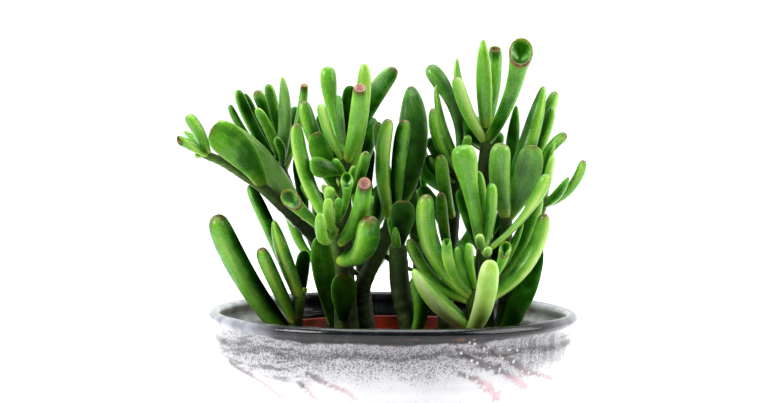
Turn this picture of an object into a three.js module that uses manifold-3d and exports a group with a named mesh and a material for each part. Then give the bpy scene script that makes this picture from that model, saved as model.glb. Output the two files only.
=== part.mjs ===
// A trumpet jade: a finger-leaved succulent in its nursery pot, standing in a glazed bowl.
// Millimetres. +Z is up, +X is to the right seen from the front, and the front faces -Y.
// The origin is the centre of the bowl's flat foot.

import * as THREE from "three";
import { mergeVertices } from "three/addons/utils/BufferGeometryUtils.js";
import Module from "manifold-3d";

const wasm = await Module();
wasm.setup();

// ---------------------------------------------------------------- driving sizes

const TOUCH_GAP = 0.3;
const SLIVER = 0.02;
const WELD = 1e-4;

const BOWL = {
  rollHeight: 93.6,
  rollRadius: 71.6,
  rollThickness: 2.4,
  rollAngles: [-60, -10, 40, 90, 140, 190, 235],
  floorHeight: 8,
  segments: 34,
};

// Outer and inner wall of the bowl as [radius, height].
const BOWL_OUTSIDE = [[46, 0], [49, 6], [56, 20], [62.5, 40], [67, 60], [69.8, 74], [71.6, 83], [71.3, 89]];
const BOWL_INSIDE = [[67, 88], [66.6, 80], [64.6, 70], [61, 55], [55, 35], [47, 18], [41, BOWL.floorHeight]];

const NURSERY = {
  topRadius: 52.5,
  topHeight: 88,
  bottomRadius: 37,
  bottomHeight: BOWL.floorHeight + TOUCH_GAP,
  bandHeight: 12,
  bandStep: 1.4,
  wall: 1.3,
  footRound: 1.5,
  bandRound: 0.8,
  lipFlare: 0.3,
  lipRound: 0.4,
  segments: 28,
  drain: { count: 6, radius: 4, circle: 24, depth: 8, sides: 10 },
};

const SOIL = {
  topHeight: 80,
  bumpHeight: 0.8,
  bumpTurns: { x: 0.23, y: 0.31 },
  edgeDrop: 0.8,
  edgeWidth: 3,
  rings: [36, 22, 9],
  segments: 28,
  stemDepth: 15,
  holeClearance: 0.35,
  holeHeight: 12,
};

const STEM_SIDES = 7;
const STEM_STEP = 9;
const PEG_OVERLAP = 3;
const LEAF_SIDES = { slim: 5, usual: 6, broad: 8 };
const SLIM_LEAF = 4.3;
const BROAD_LEAF = 7.4;

// ---------------------------------------------------------------- leaf forms

// Each outline row is [share of the leaf's length, share of its half width]. It starts and ends on the axis.
// A trumpet's and a tube's outline turn back into a cup. mouthSlope tilts it to the leaf's upper face, more
// and more along MOUTH_SHARES.
const MOUTH_SHARES = [0.55, 0.95];
const FORMS = {
  finger: {
    outline: [[0, 0], [0, 0.6], [0.3, 0.85], [0.62, 1], [0.86, 0.98], [0.96, 0.68], [1, 0]],
    thickness: 0.86,
    mouthSlope: 0,
  },
  pointed: {
    outline: [[0, 0], [0, 0.6], [0.25, 0.88], [0.5, 1], [0.75, 0.86], [0.92, 0.48], [1, 0]],
    thickness: 0.82,
    mouthSlope: 0,
  },
  club: {
    outline: [[0, 0], [0, 0.48], [0.4, 0.54], [0.62, 0.7], [0.8, 0.98], [0.94, 0.94], [1, 0]],
    thickness: 0.92,
    mouthSlope: 0,
  },
  trumpet: {
    outline: [[0, 0], [0, 0.5], [0.36, 0.6], [0.72, 0.76], [0.9, 0.95], [0.97, 1.1], [0.97, 0.84], [0.91, 0]],
    thickness: 0.95,
    mouthSlope: 1.1,
  },
  tube: {
    outline: [[0, 0], [0, 0.55], [0.3, 0.8], [0.6, 1], [0.85, 0.94], [0.97, 0.8], [0.97, 0.56], [0.93, 0]],
    thickness: 0.92,
    mouthSlope: 0.6,
  },
  spoon: {
    outline: [[0, 0], [0, 0.36], [0.25, 0.57], [0.5, 0.88], [0.74, 1], [0.9, 0.84], [1, 0]],
    thickness: 0.48,
    mouthSlope: 0,
  },
};

const FACES = {
  front: new THREE.Vector3(0, -1, 0.25),
  back: new THREE.Vector3(0, 1, 0.25),
  left: new THREE.Vector3(-1, -0.4, 0.2),
  right: new THREE.Vector3(1, -0.4, 0.2),
};

// ---------------------------------------------------------------- the leafy stems

// Heights in these lists are above the centre of the bowl's rolled rim.
// A stem has its line of points [x, y, height], from the soil up, and its thickness at both ends.
// A leaf is [form, share along the stem, [x, y, height] of its tip, width, bow, and where it faces].
// A positive bow makes the leaf leave the stem sideways and turn upwards, a negative one the reverse.

const STEMS = [
  {
    name: "low_left_stem",
    line: [[-40, -4, -12], [-39, -7, -3], [-38, -9, 4], [-37, -10, 9]],
    thick: [6, 5.2],
    leaves: [
      ["finger", 0.05, [-70, -20, 41.5], 12.6, 0.06],
      ["finger", 0.35, [-51.6, -18, 29.2], 7.6, -0.02],
      ["pointed", 0.95, [-47.6, -14, 39.5], 8.4, 0.03],
      ["finger", 0.6, [-35.5, 1, 26], 6, 0.06],
      ["finger", 0.85, [-58, 9, 52], 6.4, -0.02],
    ],
  },
  {
    name: "arching_left_stem",
    line: [[-24, 11, -12], [-24, 10, 8], [-25.5, 9, 20], [-30, 7, 29], [-37, 5, 36.5], [-44, 3, 43.5],
      [-52.5, 1, 51.5], [-61, -2, 57.5], [-68, -4, 62], [-75, -6, 65]],
    thick: [7, 3.4],
    leaves: [
      ["finger", 0.98, [-82, -4, 80.5], 6.2, 0.06],
      ["tube", 0.98, [-85, -12, 71], 4.8, 0.08, "left"],
      ["pointed", 0.96, [-84, 4, 74], 3.8, 0.08],
      ["spoon", 0.66, [-73.8, -9, 74.6], 14.2, 0.02, "front"],
      ["pointed", 0.44, [-69, 8, 79.5], 13.2, 0.14],
      ["spoon", 0.03, [-29, -20, 34], 9.6, 0.04, "front"],
      ["finger", 0.06, [-23, -8, 31], 6, 0.04],
    ],
  },
  {
    name: "left_fan_stem",
    line: [[-22, 24, -12], [-25, 25, 8], [-33, 24, 30], [-42, 20, 49], [-46, 16, 60]],
    thick: [6.6, 4.2],
    leaves: [
      ["finger", 0.9, [-66, 8, 84], 4, 0.08],
      ["finger", 0.9, [-63, 14, 90], 5.2, 0.12],
      ["finger", 0.86, [-61, 26, 88.5], 4.6, 0.1],
      ["club", 0.95, [-54.5, 8, 90], 5.2, 0.08],
      ["finger", 0.97, [-51, 20, 92.5], 5.2, 0.06],
      ["finger", 0.9, [-55, 0, 82], 4.4, 0.06],
      ["pointed", 0.99, [-45, 10, 96], 7, 0.02],
      ["finger", 0.98, [-48, 2, 71.5], 3.8, 0.03],
      ["tube", 0.96, [-36.2, 26, 92.5], 4, 0.08, "front"],
      ["finger", 0.92, [-40, 32, 83], 6, 0.05],
      ["finger", 0.8, [-54, 40, 78], 5.4, 0.1],
      ["finger", 0.58, [-39.5, 34, 62], 5.6, 0.02],
    ],
  },
  {
    name: "front_rosette_stem",
    line: [[-20, -14, -12], [-20, -17, 6], [-20, -20, 20], [-22, -24, 31], [-22, -27, 40]],
    thick: [7, 5.4],
    leaves: [
      ["spoon", 0.15, [-19.2, -31, 20], 10.6, 0.1, "front"],
      ["finger", 0.6, [-10, -46, 43], 11, 0.18],
      ["finger", 0.9, [-28, -46, 44.5], 5, 0.34],
      ["finger", 0.9, [-25, -42, 50], 4.6, 0.2],
      ["club", 0.97, [-24.5, -34, 54], 5, 0.1],
      ["trumpet", 0.82, [-40, -36, 49.5], 6.6, 0.04, "front"],
      ["tube", 0.74, [-11, -47, 56.5], 7, 0.1, "front"],
      ["finger", 0.86, [-8, -30, 50], 3.6, 0.1],
      ["trumpet", 0.99, [-18, -38, 57], 4.8, 0.1, "front"],
      ["finger", 0.99, [-21, -40, 50], 3.2, 0.1],
      ["finger", 0.88, [-38, -18, 78], 6.6, 0.14],
    ],
  },
  {
    name: "heart_stem",
    line: [[-16, 0, -12], [-18, -2, 11], [-19, -6, 31], [-19, -8, 49], [-19, -10, 64]],
    thick: [6.6, 4.6],
    leaves: [
      ["spoon", 0.9, [-32, -22, 61], 8.8, -0.02, "front"],
      ["finger", 0.86, [-24, -18, 64], 3.8, 0.05],
      ["finger", 0.74, [-11, -26, 67], 5, 0.1],
      ["finger", 0.72, [-15, -30, 62], 3.2, 0.05],
      ["spoon", 0.72, [-30.5, -2, 74], 9.4, 0.06, "front"],
      ["finger", 0.8, [-36, 8, 86], 7, 0.1],
      ["club", 0.98, [-26, 4, 100], 7, 0.1],
      ["finger", 0.97, [-28.5, -16, 85.5], 5.2, 0.06],
      ["finger", 0.96, [-22, 12, 88], 3.6, 0.04],
      ["tube", 0.96, [-13, -20, 92.5], 6.8, 0.06, "front"],
      ["finger", 0.8, [-11.4, 0, 101.2], 6.4, 0.08],
      ["finger", 0.88, [-17.6, 18, 92], 7.4, 0.04],
      ["spoon", 0.88, [1.4, 24, 99], 8.2, -0.1, "front"],
      ["finger", 0.84, [-30, 26, 80], 6, 0.08],
      ["finger", 0.8, [-8, 34, 78], 7, 0.1],
      ["finger", 0.45, [-11, 14, 46], 6, 0.06],
      ["finger", 0.62, [-36, 8, 53], 7, 0.06],
    ],
  },
  {
    name: "middle_stem",
    line: [[-9, 9, -12], [-13, 7, 4], [-12, 5, 12], [-8, 4, 21], [-2, 4, 33], [3, 2, 47]],
    thick: [7.6, 6],
    leaves: [
      ["finger", 0.92, [-6.5, 12, 77.5], 5.6, 0.03],
      ["finger", 0.86, [-1.5, -12, 79.5], 7.2, 0.08],
      ["finger", 0.95, [5.5, -6, 79], 7.8, 0.02],
      ["pointed", 0.98, [7, 14, 92], 13.4, -0.1, "front"],
      ["finger", 0.97, [6, 18, 72], 4.6, 0.04],
      ["finger", 0.62, [-5, 8, 52], 6.6, 0.08],
      ["finger", 0.7, [8, 12, 54], 6.4, 0.12],
      ["finger", 0.5, [-2, 24, 34], 6, 0.06],
      ["spoon", 0.84, [10, 30, 64], 7.6, 0.1, "front"],
      ["finger", 0.56, [-8.5, 26, 66], 5.6, 0.08],
    ],
  },
  {
    name: "short_front_stem",
    line: [[8, -16, -12], [6, -18, 1], [3, -18, 12], [2, -18, 24], [2, -18, 29]],
    thick: [9.4, 7.2],
    leaves: [
      ["spoon", 0.96, [3.8, -26, 48], 10, 0.06, "front"],
      ["finger", 0.97, [-1, -15, 41], 3.6, 0.06],
      ["pointed", 0.97, [1, -27, 38], 3.8, 0.1],
      ["finger", 0.1, [7.2, -24, 18.5], 7.2, 0.08],
    ],
  },
  {
    name: "front_right_stem",
    line: [[29, -26, -12], [30, -30, -2], [31, -34, 7], [32, -36, 14]],
    thick: [6.6, 5.6],
    leaves: [
      ["pointed", 0.35, [7.4, -46, 23], 10.4, 0.05],
      ["finger", 0.3, [36.8, -57, 27.5], 8.6, 0.14],
      ["finger", 0.85, [13, -34, 51], 9.4, 0.18],
      ["finger", 0.72, [59, -32, 43.5], 7.4, 0.2],
      ["finger", 0.75, [6, -26, 33], 5.8, 0.16],
      ["tube", 0.9, [20.5, -48, 34], 4.8, 0.14, "front"],
      ["trumpet", 0.88, [43, -50, 31.5], 4.6, 0.1, "front"],
      ["finger", 0.97, [29, -46, 33], 4.4, 0.05],
      ["finger", 0.97, [25, -38, 31], 5, 0.08],
      ["finger", 0.84, [59, -18, 50], 6.6, 0.2],
      ["pointed", 0.95, [51, -24, 40], 4.4, 0.12],
    ],
  },
  {
    name: "right_middle_stem",
    line: [[37, -10, -12], [37, -13, 4], [36, -20, 17], [36, -26, 24], [35, -28, 29]],
    thick: [6.6, 5],
    leaves: [
      ["club", 0.97, [27, -30, 70], 10.4, 0.06],
      ["finger", 0.95, [32.5, -24, 59.5], 5, 0.04],
      ["finger", 0.98, [38, -31, 55], 5.4, 0.04],
      ["club", 0.93, [60, -36, 59], 5.8, 0.08],
      ["finger", 0.86, [26.5, -14, 52], 6.4, 0.08],
      ["finger", 0.99, [33.5, -38, 35], 3.8, 0.1],
      ["finger", 0.99, [36, -40, 31], 3.8, 0.1],
    ],
  },
  {
    name: "right_tall_stem",
    line: [[34, 13, -12], [35, 10, 9], [37, 4, 34], [36, 0, 55], [37, -2, 67], [37, -2, 75]],
    thick: [7, 4.6],
    leaves: [
      ["pointed", 0.98, [35.7, -6, 111], 6.8, 0.02],
      ["tube", 0.97, [41.1, 8, 107.5], 6.4, 0.06, "front"],
      ["trumpet", 0.86, [50.4, -16, 107], 9.2, 0.08, "front"],
      ["finger", 0.86, [25, -10, 96], 6.4, 0.06],
      ["pointed", 0.94, [25.7, 8, 103.5], 5, 0.13],
      ["finger", 0.9, [34.5, 14, 79], 4.4, 0.05],
      ["finger", 0.8, [27, 26, 82], 5.4, 0.1],
      ["finger", 0.72, [44, 30, 72], 6, 0.12],
    ],
  },
  {
    name: "grey_tall_stem",
    line: [[21, 20, -12], [22, 18, 8], [24, 14, 33], [25.5, 10, 52], [27, 6, 62]],
    thick: [6.6, 4.6],
    leaves: [
      ["club", 0.97, [14, 6, 100], 7.4, -0.15],
      ["pointed", 0.97, [17, -4, 93], 4.4, 0.06],
      ["finger", 0.9, [16, -12, 83.5], 5.4, 0.1],
      ["finger", 0.85, [15, 12, 71], 6, 0.1],
      ["finger", 0.78, [14, 0, 64], 6, 0.1],
      ["finger", 0.97, [30, -8, 72.5], 3.8, 0.06],
      ["finger", 0.56, [19, -6, 65], 6, 0.06],
      ["finger", 0.4, [19, -8, 50], 5, 0.06],
      ["finger", 0.2, [14, 22, 28], 7.2, 0.08],
      ["finger", 0.55, [15, 26, 53], 7.3, 0.1],
      ["spoon", 0.7, [9, 38, 60], 10, 0.12, "front"],
      ["finger", 0.8, [22, 40, 70], 7.2, 0.1],
    ],
  },
  {
    name: "far_right_stem",
    line: [[41, 12, -12], [46, 9, 3], [53, 4, 26], [57, 0, 38], [60, -2, 45]],
    thick: [6.2, 4.2],
    leaves: [
      ["finger", 0.97, [75.5, -10, 63], 5, 0.14],
      ["pointed", 0.97, [69, -18, 57], 4.4, 0.1],
      ["club", 0.9, [69, -9, 73], 5, 0.16],
      ["pointed", 0.93, [64, -12, 71], 4.4, 0.06],
      ["finger", 0.99, [60, -14, 66], 3.8, 0.05],
      ["finger", 0.8, [62, 26, 60], 6, 0.15],
      ["finger", 0.7, [60, 34, 58], 5.6, 0.15],
    ],
  },
  {
    name: "right_spoon_stem",
    line: [[43, -3, -12], [45, -4, 11], [45, -6, 31], [45, -6, 45]],
    thick: [6.2, 4.8],
    leaves: [
      ["pointed", 0.98, [60.2, 2, 92.5], 9.6, 0.01],
      ["pointed", 0.96, [50, 8, 84.5], 6.2, 0.03],
      ["club", 0.9, [66.5, 16, 90], 5.4, 0.02],
      ["finger", 0.92, [64, 8, 83.5], 5.6, 0.05],
      ["finger", 0.88, [43.6, -18, 70], 8.8, 0.04],
      ["spoon", 0.84, [57.5, -14, 69], 11.4, 0.06, "front"],
      ["pointed", 0.04, [58, -15, 30], 12, 0.28],
      ["finger", 0.06, [51.5, -8, 17.5], 7.2, 0.1],
    ],
  },
];

// The stems at the back follow the plant's own rule: opposite pairs, each pair turned from the last.
const BACK_STEMS = [
  {
    name: "back_left_stem",
    line: [[-24, 33, -12], [-25, 37, 8], [-26, 40, 26]],
    thick: [6.4, 4.6],
    turn: 75,
  },
  {
    name: "back_middle_stem",
    line: [[-10, 38, -12], [-12.5, 42, 12], [-13.5, 45, 34]],
    thick: [6.6, 4.6],
    turn: 55,
  },
  {
    name: "back_right_stem",
    line: [[10, 35, -12], [11, 39, 14], [11, 43, 42]],
    thick: [6.6, 4.6],
    turn: 10,
  },
  {
    name: "back_far_stem",
    line: [[30, 30, -12], [37, 33, 10], [43, 36, 30]],
    thick: [6.4, 4.6],
    turn: 105,
  },
];
const BACK_LEAVES = {
  forms: ["finger", "spoon", "trumpet", "finger", "finger", "club", "pointed", "trumpet"],
  firstShare: 0.5,
  lastShare: 0.98,
  longest: 38,
  shortest: 24,
  widest: 7.2,
  slimmest: 4.8,
  lowLean: 48,
  highLean: 16,
  pairTurn: 82,
  turnScatter: 24,
  leastLength: 0.86,
  lengthScatter: 0.28,
  bow: 0.14,
};

// ---------------------------------------------------------------- leaf layout

const UP = new THREE.Vector3(0, 0, 1);

function stemCurve(stem) {
  const points = stem.line.map(([x, y, height]) => new THREE.Vector3(x, y, BOWL.rollHeight + height));
  return new THREE.CatmullRomCurve3(points);
}

// A spread of values between 0 and 1 that looks random and is the same in every build.
function spread(index) {
  return (index * 0.618034) % 1;
}

function backLeaves(stem) {
  const rule = BACK_LEAVES;
  const curve = stemCurve(stem);
  return rule.forms.map((form, index) => {
    const pair = Math.floor(index / 2);
    const rise = pair / (rule.forms.length / 2 - 1);
    const share = THREE.MathUtils.lerp(rule.firstShare, rule.lastShare, rise);
    const scatter = rule.turnScatter * (spread(index + stem.turn) - 0.5);
    const heading = THREE.MathUtils.degToRad(stem.turn + pair * rule.pairTurn + (index % 2) * 180 + scatter);
    const lean = THREE.MathUtils.degToRad(THREE.MathUtils.lerp(rule.lowLean, rule.highLean, rise));
    const full = THREE.MathUtils.lerp(rule.longest, rule.shortest, rise);
    const length = full * (rule.leastLength + rule.lengthScatter * spread(index * 3 + stem.turn));
    const reach = Math.sin(lean) * length;
    const root = curve.getPoint(share);
    const tip = [
      root.x + reach * Math.cos(heading),
      root.y + reach * Math.sin(heading),
      root.z - BOWL.rollHeight + Math.cos(lean) * length,
    ];
    return [form, share, tip, THREE.MathUtils.lerp(rule.widest, rule.slimmest, rise), rule.bow];
  });
}

// One leaf: a quadratic curve from its root on the stem through a bend to its tip.
function layLeaf(stem, stemIndex, row) {
  const [form, share, tipPoint, width, bow, facing] = row;
  const curve = stemCurve(stem);
  const root = curve.getPoint(share);
  const axis = curve.getTangent(share);
  const tip = new THREE.Vector3(tipPoint[0], tipPoint[1], BOWL.rollHeight + tipPoint[2]);
  const chord = tip.clone().sub(root);
  const length = chord.length();
  chord.normalize();
  const rise = chord.dot(axis);
  const outward = chord.clone().addScaledVector(axis, -rise).normalize();
  const across = Math.sqrt(Math.max(0, 1 - rise * rise));
  const underside = outward.multiplyScalar(rise).addScaledVector(axis, -across);
  const bend = root.clone().add(tip).multiplyScalar(0.5).addScaledVector(underside, 2 * bow * length);
  const face = facing ? FACES[facing].clone() : underside.clone().negate();
  return {
    form, stemIndex, share, length, root, bend, tip, face,
    homeBend: bend.clone(),
    homeTip: tip.clone(),
    halfWidth: width / 2,
    halfThickness: (width / 2) * FORMS[form].thickness,
  };
}

function leafPoint(leaf, t) {
  return leaf.root.clone().multiplyScalar((1 - t) * (1 - t))
    .addScaledVector(leaf.bend, 2 * t * (1 - t))
    .addScaledVector(leaf.tip, t * t);
}

function leafFrame(leaf, t) {
  const tangent = leaf.bend.clone().sub(leaf.root).multiplyScalar(1 - t)
    .addScaledVector(leaf.tip.clone().sub(leaf.bend), t)
    .normalize();
  const normal = leaf.face.clone().addScaledVector(tangent, -leaf.face.dot(tangent)).normalize();
  const side = tangent.clone().cross(normal);
  return { tangent, normal, side };
}

// ---------------------------------------------------------------- bending leaves clear of each other

const SETTLE = {
  rounds: 220,
  samples: 9,
  clearance: 0.9,
  gain: 1.1,
  homePull: 0.02,
  homeRounds: 110,
  sideways: 0.5,
  stemStep: 2.5,
  rootShare: 0.3,
  rootReach: 8,
  nearShare: 0.7,
  leastWeight: 0.5,
  leastEscape: 0.01,
};

// The radius of a form at a share of its length, read off its outline before the cup.
function formRadius(form, t) {
  const rises = (row, index, list) => index === 0 || row[0] > list[index - 1][0];
  const rows = FORMS[form].outline.slice(1).filter(rises);
  for (let index = 1; index < rows.length; index++) {
    const [t0, r0] = rows[index - 1];
    const [t1, r1] = rows[index];
    if (t <= t1) return r0 + ((r1 - r0) * (t - t0)) / (t1 - t0);
  }
  return rows[rows.length - 1][1];
}

function sampleLeaf(leaf) {
  const samples = [];
  for (let index = 0; index < SETTLE.samples; index++) {
    const t = (index + 1) / (SETTLE.samples + 0.5);
    const radius = formRadius(leaf.form, t);
    const { tangent, normal, side } = leafFrame(leaf, t);
    samples.push({
      t, tangent, normal, side,
      point: leafPoint(leaf, t),
      wide: radius * leaf.halfWidth,
      thick: radius * leaf.halfThickness,
    });
  }
  return samples;
}

// How far the leaf's body reaches from a sample's centre in a direction.
function reachOf(sample, direction) {
  const across = sample.wide * direction.dot(sample.side);
  const through = sample.thick * direction.dot(sample.normal);
  const along = 0.5 * sample.thick * direction.dot(sample.tangent);
  return Math.sqrt(across * across + through * through + along * along);
}

// Adds a push at one sample to the sums that move the leaf's bend and tip.
function addPush(sums, t, push, scale) {
  const bendShare = 2 * t * (1 - t);
  const tipShare = t * t;
  sums.bend.addScaledVector(push, scale * bendShare);
  sums.tip.addScaledVector(push, scale * tipShare);
  sums.weight += bendShare + tipShare;
}

// Leaves give way mostly to the front or back, which keeps the plant's outline seen from the front.
function escapeAlong(direction, depth) {
  const escape = new THREE.Vector3(direction.x * SETTLE.sideways, direction.y, direction.z * SETTLE.sideways);
  escape.normalize();
  const amount = Math.min(depth / Math.max(escape.dot(direction), SETTLE.leastEscape), 2 * depth);
  return escape.multiplyScalar(amount);
}

function pushLeavesApart(samplesA, samplesB, sumsA, sumsB, sameStem) {
  for (const a of samplesA) {
    for (const b of samplesB) {
      if (sameStem && Math.min(a.t, b.t) < SETTLE.rootShare) continue;
      const direction = a.point.clone().sub(b.point);
      const distance = direction.length();
      if (distance > a.wide + b.wide + SETTLE.clearance || distance === 0) continue;
      direction.divideScalar(distance);
      const depth = reachOf(a, direction) + reachOf(b, direction) + SETTLE.clearance - distance;
      if (depth <= 0) continue;
      const push = escapeAlong(direction, depth);
      addPush(sumsA, a.t, push, 0.5);
      addPush(sumsB, b.t, push, -0.5);
    }
  }
}

function sampleStem(stem) {
  const curve = stemCurve(stem);
  const count = Math.ceil(curve.getLength() / SETTLE.stemStep);
  const samples = [];
  for (let index = 0; index <= count; index++) {
    const share = index / count;
    samples.push({ point: curve.getPoint(share), radius: THREE.MathUtils.lerp(...stem.thick, share) / 2 });
  }
  return samples;
}

function pushOffStem(leaf, samples, sums, stemSamples, ownStem) {
  for (const a of samples) {
    if (ownStem && a.t < SETTLE.rootShare) continue;
    for (const b of stemSamples) {
      if (ownStem && b.point.distanceTo(leaf.root) < SETTLE.rootReach) continue;
      const direction = a.point.clone().sub(b.point);
      const distance = direction.length();
      if (distance > a.wide + b.radius + SETTLE.clearance || distance === 0) continue;
      direction.divideScalar(distance);
      const depth = reachOf(a, direction) + b.radius + SETTLE.clearance - distance;
      if (depth > 0) addPush(sums, a.t, escapeAlong(direction, depth), 1);
    }
  }
}

// Keeps a leaf inside a pot's wall below its rim, and off the rim above it.
function pushOffRim(samples, sums, rimRadius, rimHeight, tube) {
  for (const a of samples) {
    const out = Math.hypot(a.point.x, a.point.y);
    const height = Math.min(a.point.z, rimHeight);
    const nearest = new THREE.Vector3((a.point.x * rimRadius) / out, (a.point.y * rimRadius) / out, height);
    const direction = a.point.clone().sub(nearest);
    const distance = direction.length();
    if (distance > a.wide + tube + SETTLE.clearance || distance === 0) continue;
    direction.divideScalar(distance);
    const depth = reachOf(a, direction) + tube + SETTLE.clearance - distance;
    if (depth > 0) addPush(sums, a.t, direction, depth);
  }
}

function pushOffSoil(samples, sums) {
  for (const a of samples) {
    if (a.t < SETTLE.rootShare) continue;
    const depth = SOIL.topHeight + SOIL.bumpHeight + reachOf(a, UP) + SETTLE.clearance - a.point.z;
    if (depth > 0) addPush(sums, a.t, UP, depth);
  }
}

function settleLeaves(leaves, stems) {
  const stemSamples = stems.map(sampleStem);
  const middle = Math.floor(SETTLE.samples / 2);
  for (let round = 0; round < SETTLE.rounds; round++) {
    const samples = leaves.map(sampleLeaf);
    const sums = leaves.map(() => ({ bend: new THREE.Vector3(), tip: new THREE.Vector3(), weight: 0 }));
    leaves.forEach((leaf, i) => {
      for (let j = i + 1; j < leaves.length; j++) {
        const apart = samples[i][middle].point.distanceTo(samples[j][middle].point);
        if (apart > (leaf.length + leaves[j].length) * SETTLE.nearShare) continue;
        const sameStem = leaf.stemIndex === leaves[j].stemIndex;
        pushLeavesApart(samples[i], samples[j], sums[i], sums[j], sameStem);
      }
      stemSamples.forEach((stem, index) => {
        pushOffStem(leaf, samples[i], sums[i], stem, index === leaf.stemIndex);
      });
      pushOffRim(samples[i], sums[i], BOWL.rollRadius, BOWL.rollHeight, BOWL.rollThickness);
      pushOffRim(samples[i], sums[i], NURSERY.topRadius - NURSERY.wall, NURSERY.topHeight, NURSERY.wall);
      pushOffSoil(samples[i], sums[i]);
    });
    const pull = round < SETTLE.homeRounds ? SETTLE.homePull : 0;
    leaves.forEach((leaf, i) => {
      const scale = SETTLE.gain / Math.max(sums[i].weight, SETTLE.leastWeight);
      leaf.bend.addScaledVector(sums[i].bend, scale).lerp(leaf.homeBend, pull);
      leaf.tip.addScaledVector(sums[i].tip, scale).lerp(leaf.homeTip, pull);
    });
  }
}

// ---------------------------------------------------------------- solids

function solidOf(geometry) {
  const bare = geometry.clone();
  for (const name of Object.keys(bare.attributes)) {
    if (name !== "position") bare.deleteAttribute(name);
  }
  const merged = mergeVertices(bare, WELD);
  const corners = [];
  for (let index = 0; index < merged.index.count; index += 3) {
    const [a, b, c] = [0, 1, 2].map((step) => merged.index.getX(index + step));
    if (a !== b && b !== c && c !== a) corners.push(a, b, c);
  }
  return new wasm.Manifold(new wasm.Mesh({
    numProp: 3,
    vertProperties: Float32Array.from(merged.attributes.position.array),
    triVerts: Uint32Array.from(corners),
  }));
}

function geometryOf(solid) {
  const { vertProperties, triVerts } = solid.getMesh();
  const geometry = new THREE.BufferGeometry();
  geometry.setAttribute("position", new THREE.BufferAttribute(vertProperties, 3));
  geometry.setIndex(new THREE.BufferAttribute(triVerts, 1));
  geometry.computeVertexNormals();
  return geometry;
}

// The largest body of a fused solid. Loose scraps go, hollows are filled and slivers are smoothed away.
function largestBody(solid) {
  const largest = solid.decompose().reduce((best, body) => (body.volume() > best.volume() ? body : best));
  return largest.asOriginal().simplify(SLIVER);
}

// Bends a turned form, whose own Y is its axis from 0 to 1, along a spine.
function bendAlong(geometry, placeVertex) {
  const position = geometry.attributes.position;
  const local = new THREE.Vector3();
  for (let index = 0; index < position.count; index++) {
    local.fromBufferAttribute(position, index);
    const placed = placeVertex(local);
    position.setXYZ(index, placed.x, placed.y, placed.z);
  }
  return geometry;
}

function turnedForm(outline, sides) {
  return new THREE.LatheGeometry(outline.map(([share, radius]) => new THREE.Vector2(radius, share)), sides);
}

function leafSides(width) {
  if (width < SLIM_LEAF) return LEAF_SIDES.slim;
  return width < BROAD_LEAF ? LEAF_SIDES.usual : LEAF_SIDES.broad;
}

function leafSolid(leaf) {
  const { outline, mouthSlope } = FORMS[leaf.form];
  const geometry = bendAlong(turnedForm(outline, leafSides(leaf.halfWidth * 2)), (local) => {
    const { tangent, normal, side } = leafFrame(leaf, local.y);
    const through = local.z * leaf.halfThickness;
    const slip = mouthSlope * through * THREE.MathUtils.smoothstep(local.y, ...MOUTH_SHARES);
    return leafPoint(leaf, local.y)
      .addScaledVector(side, local.x * leaf.halfWidth)
      .addScaledVector(normal, through)
      .addScaledVector(tangent, -slip);
  });
  return solidOf(geometry);
}

function stemSolid(stem) {
  const curve = stemCurve(stem);
  const steps = Math.ceil(curve.getLength() / STEM_STEP);
  const [low, high] = stem.thick.map((thickness) => thickness / 2);
  const outline = [[0, 0]];
  for (let step = 0; step <= steps; step++) {
    outline.push([step / steps, THREE.MathUtils.lerp(low, high, step / steps)]);
  }
  outline.push([1, 0]);
  const front = new THREE.Vector3(0, -1, 0);
  const geometry = bendAlong(turnedForm(outline, STEM_SIDES), (local) => {
    const tangent = curve.getTangent(local.y);
    const normal = front.clone().addScaledVector(tangent, -front.dot(tangent)).normalize();
    const side = tangent.clone().cross(normal);
    return curve.getPoint(local.y).addScaledVector(side, local.x).addScaledVector(normal, local.z);
  });
  return solidOf(geometry).add(solidOf(rootPeg(stem, 0, PEG_OVERLAP)));
}

// The straight foot of a stem in the soil, or with more radius and height, the plain hole for it.
function rootPeg(stem, extraRadius, extraHeight) {
  const [x, y, height] = stem.line[0];
  const top = BOWL.rollHeight + height + extraHeight;
  const bottom = SOIL.topHeight - SOIL.stemDepth - extraRadius;
  const radius = stem.thick[0] / 2 + extraRadius;
  const geometry = new THREE.CylinderGeometry(radius, radius, top - bottom, STEM_SIDES);
  geometry.rotateX(Math.PI / 2);
  return geometry.translate(x, y, (top + bottom) / 2);
}

function leafyStem(stem, leaves) {
  const solid = leaves.map(leafSolid).reduce((sum, leaf) => sum.add(leaf), stemSolid(stem));
  return geometryOf(largestBody(solid));
}

// Turns a profile of [radius, height] points about +Z.
function turnedSolid(profile, segments) {
  const geometry = new THREE.LatheGeometry(profile.map(([r, z]) => new THREE.Vector2(r, z)), segments);
  return solidOf(geometry.rotateX(Math.PI / 2));
}

function bowlGeometry() {
  const roll = BOWL.rollAngles.map((degrees) => {
    const angle = THREE.MathUtils.degToRad(degrees);
    return [
      BOWL.rollRadius + BOWL.rollThickness * Math.cos(angle),
      BOWL.rollHeight + BOWL.rollThickness * Math.sin(angle),
    ];
  });
  const profile = [[0, 0], ...BOWL_OUTSIDE, ...roll, ...BOWL_INSIDE, [0, BOWL.floorHeight]];
  return geometryOf(turnedSolid(profile, BOWL.segments));
}

// The nursery pot's inner radius at a height, below its stepped band.
function nurseryInside(height) {
  const { topRadius, topHeight, bottomRadius, bottomHeight, bandHeight, bandStep, wall } = NURSERY;
  const rise = (height - bottomHeight) / (topHeight - bandHeight - bottomHeight);
  return THREE.MathUtils.lerp(bottomRadius, topRadius - bandStep, rise) - wall;
}

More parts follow.
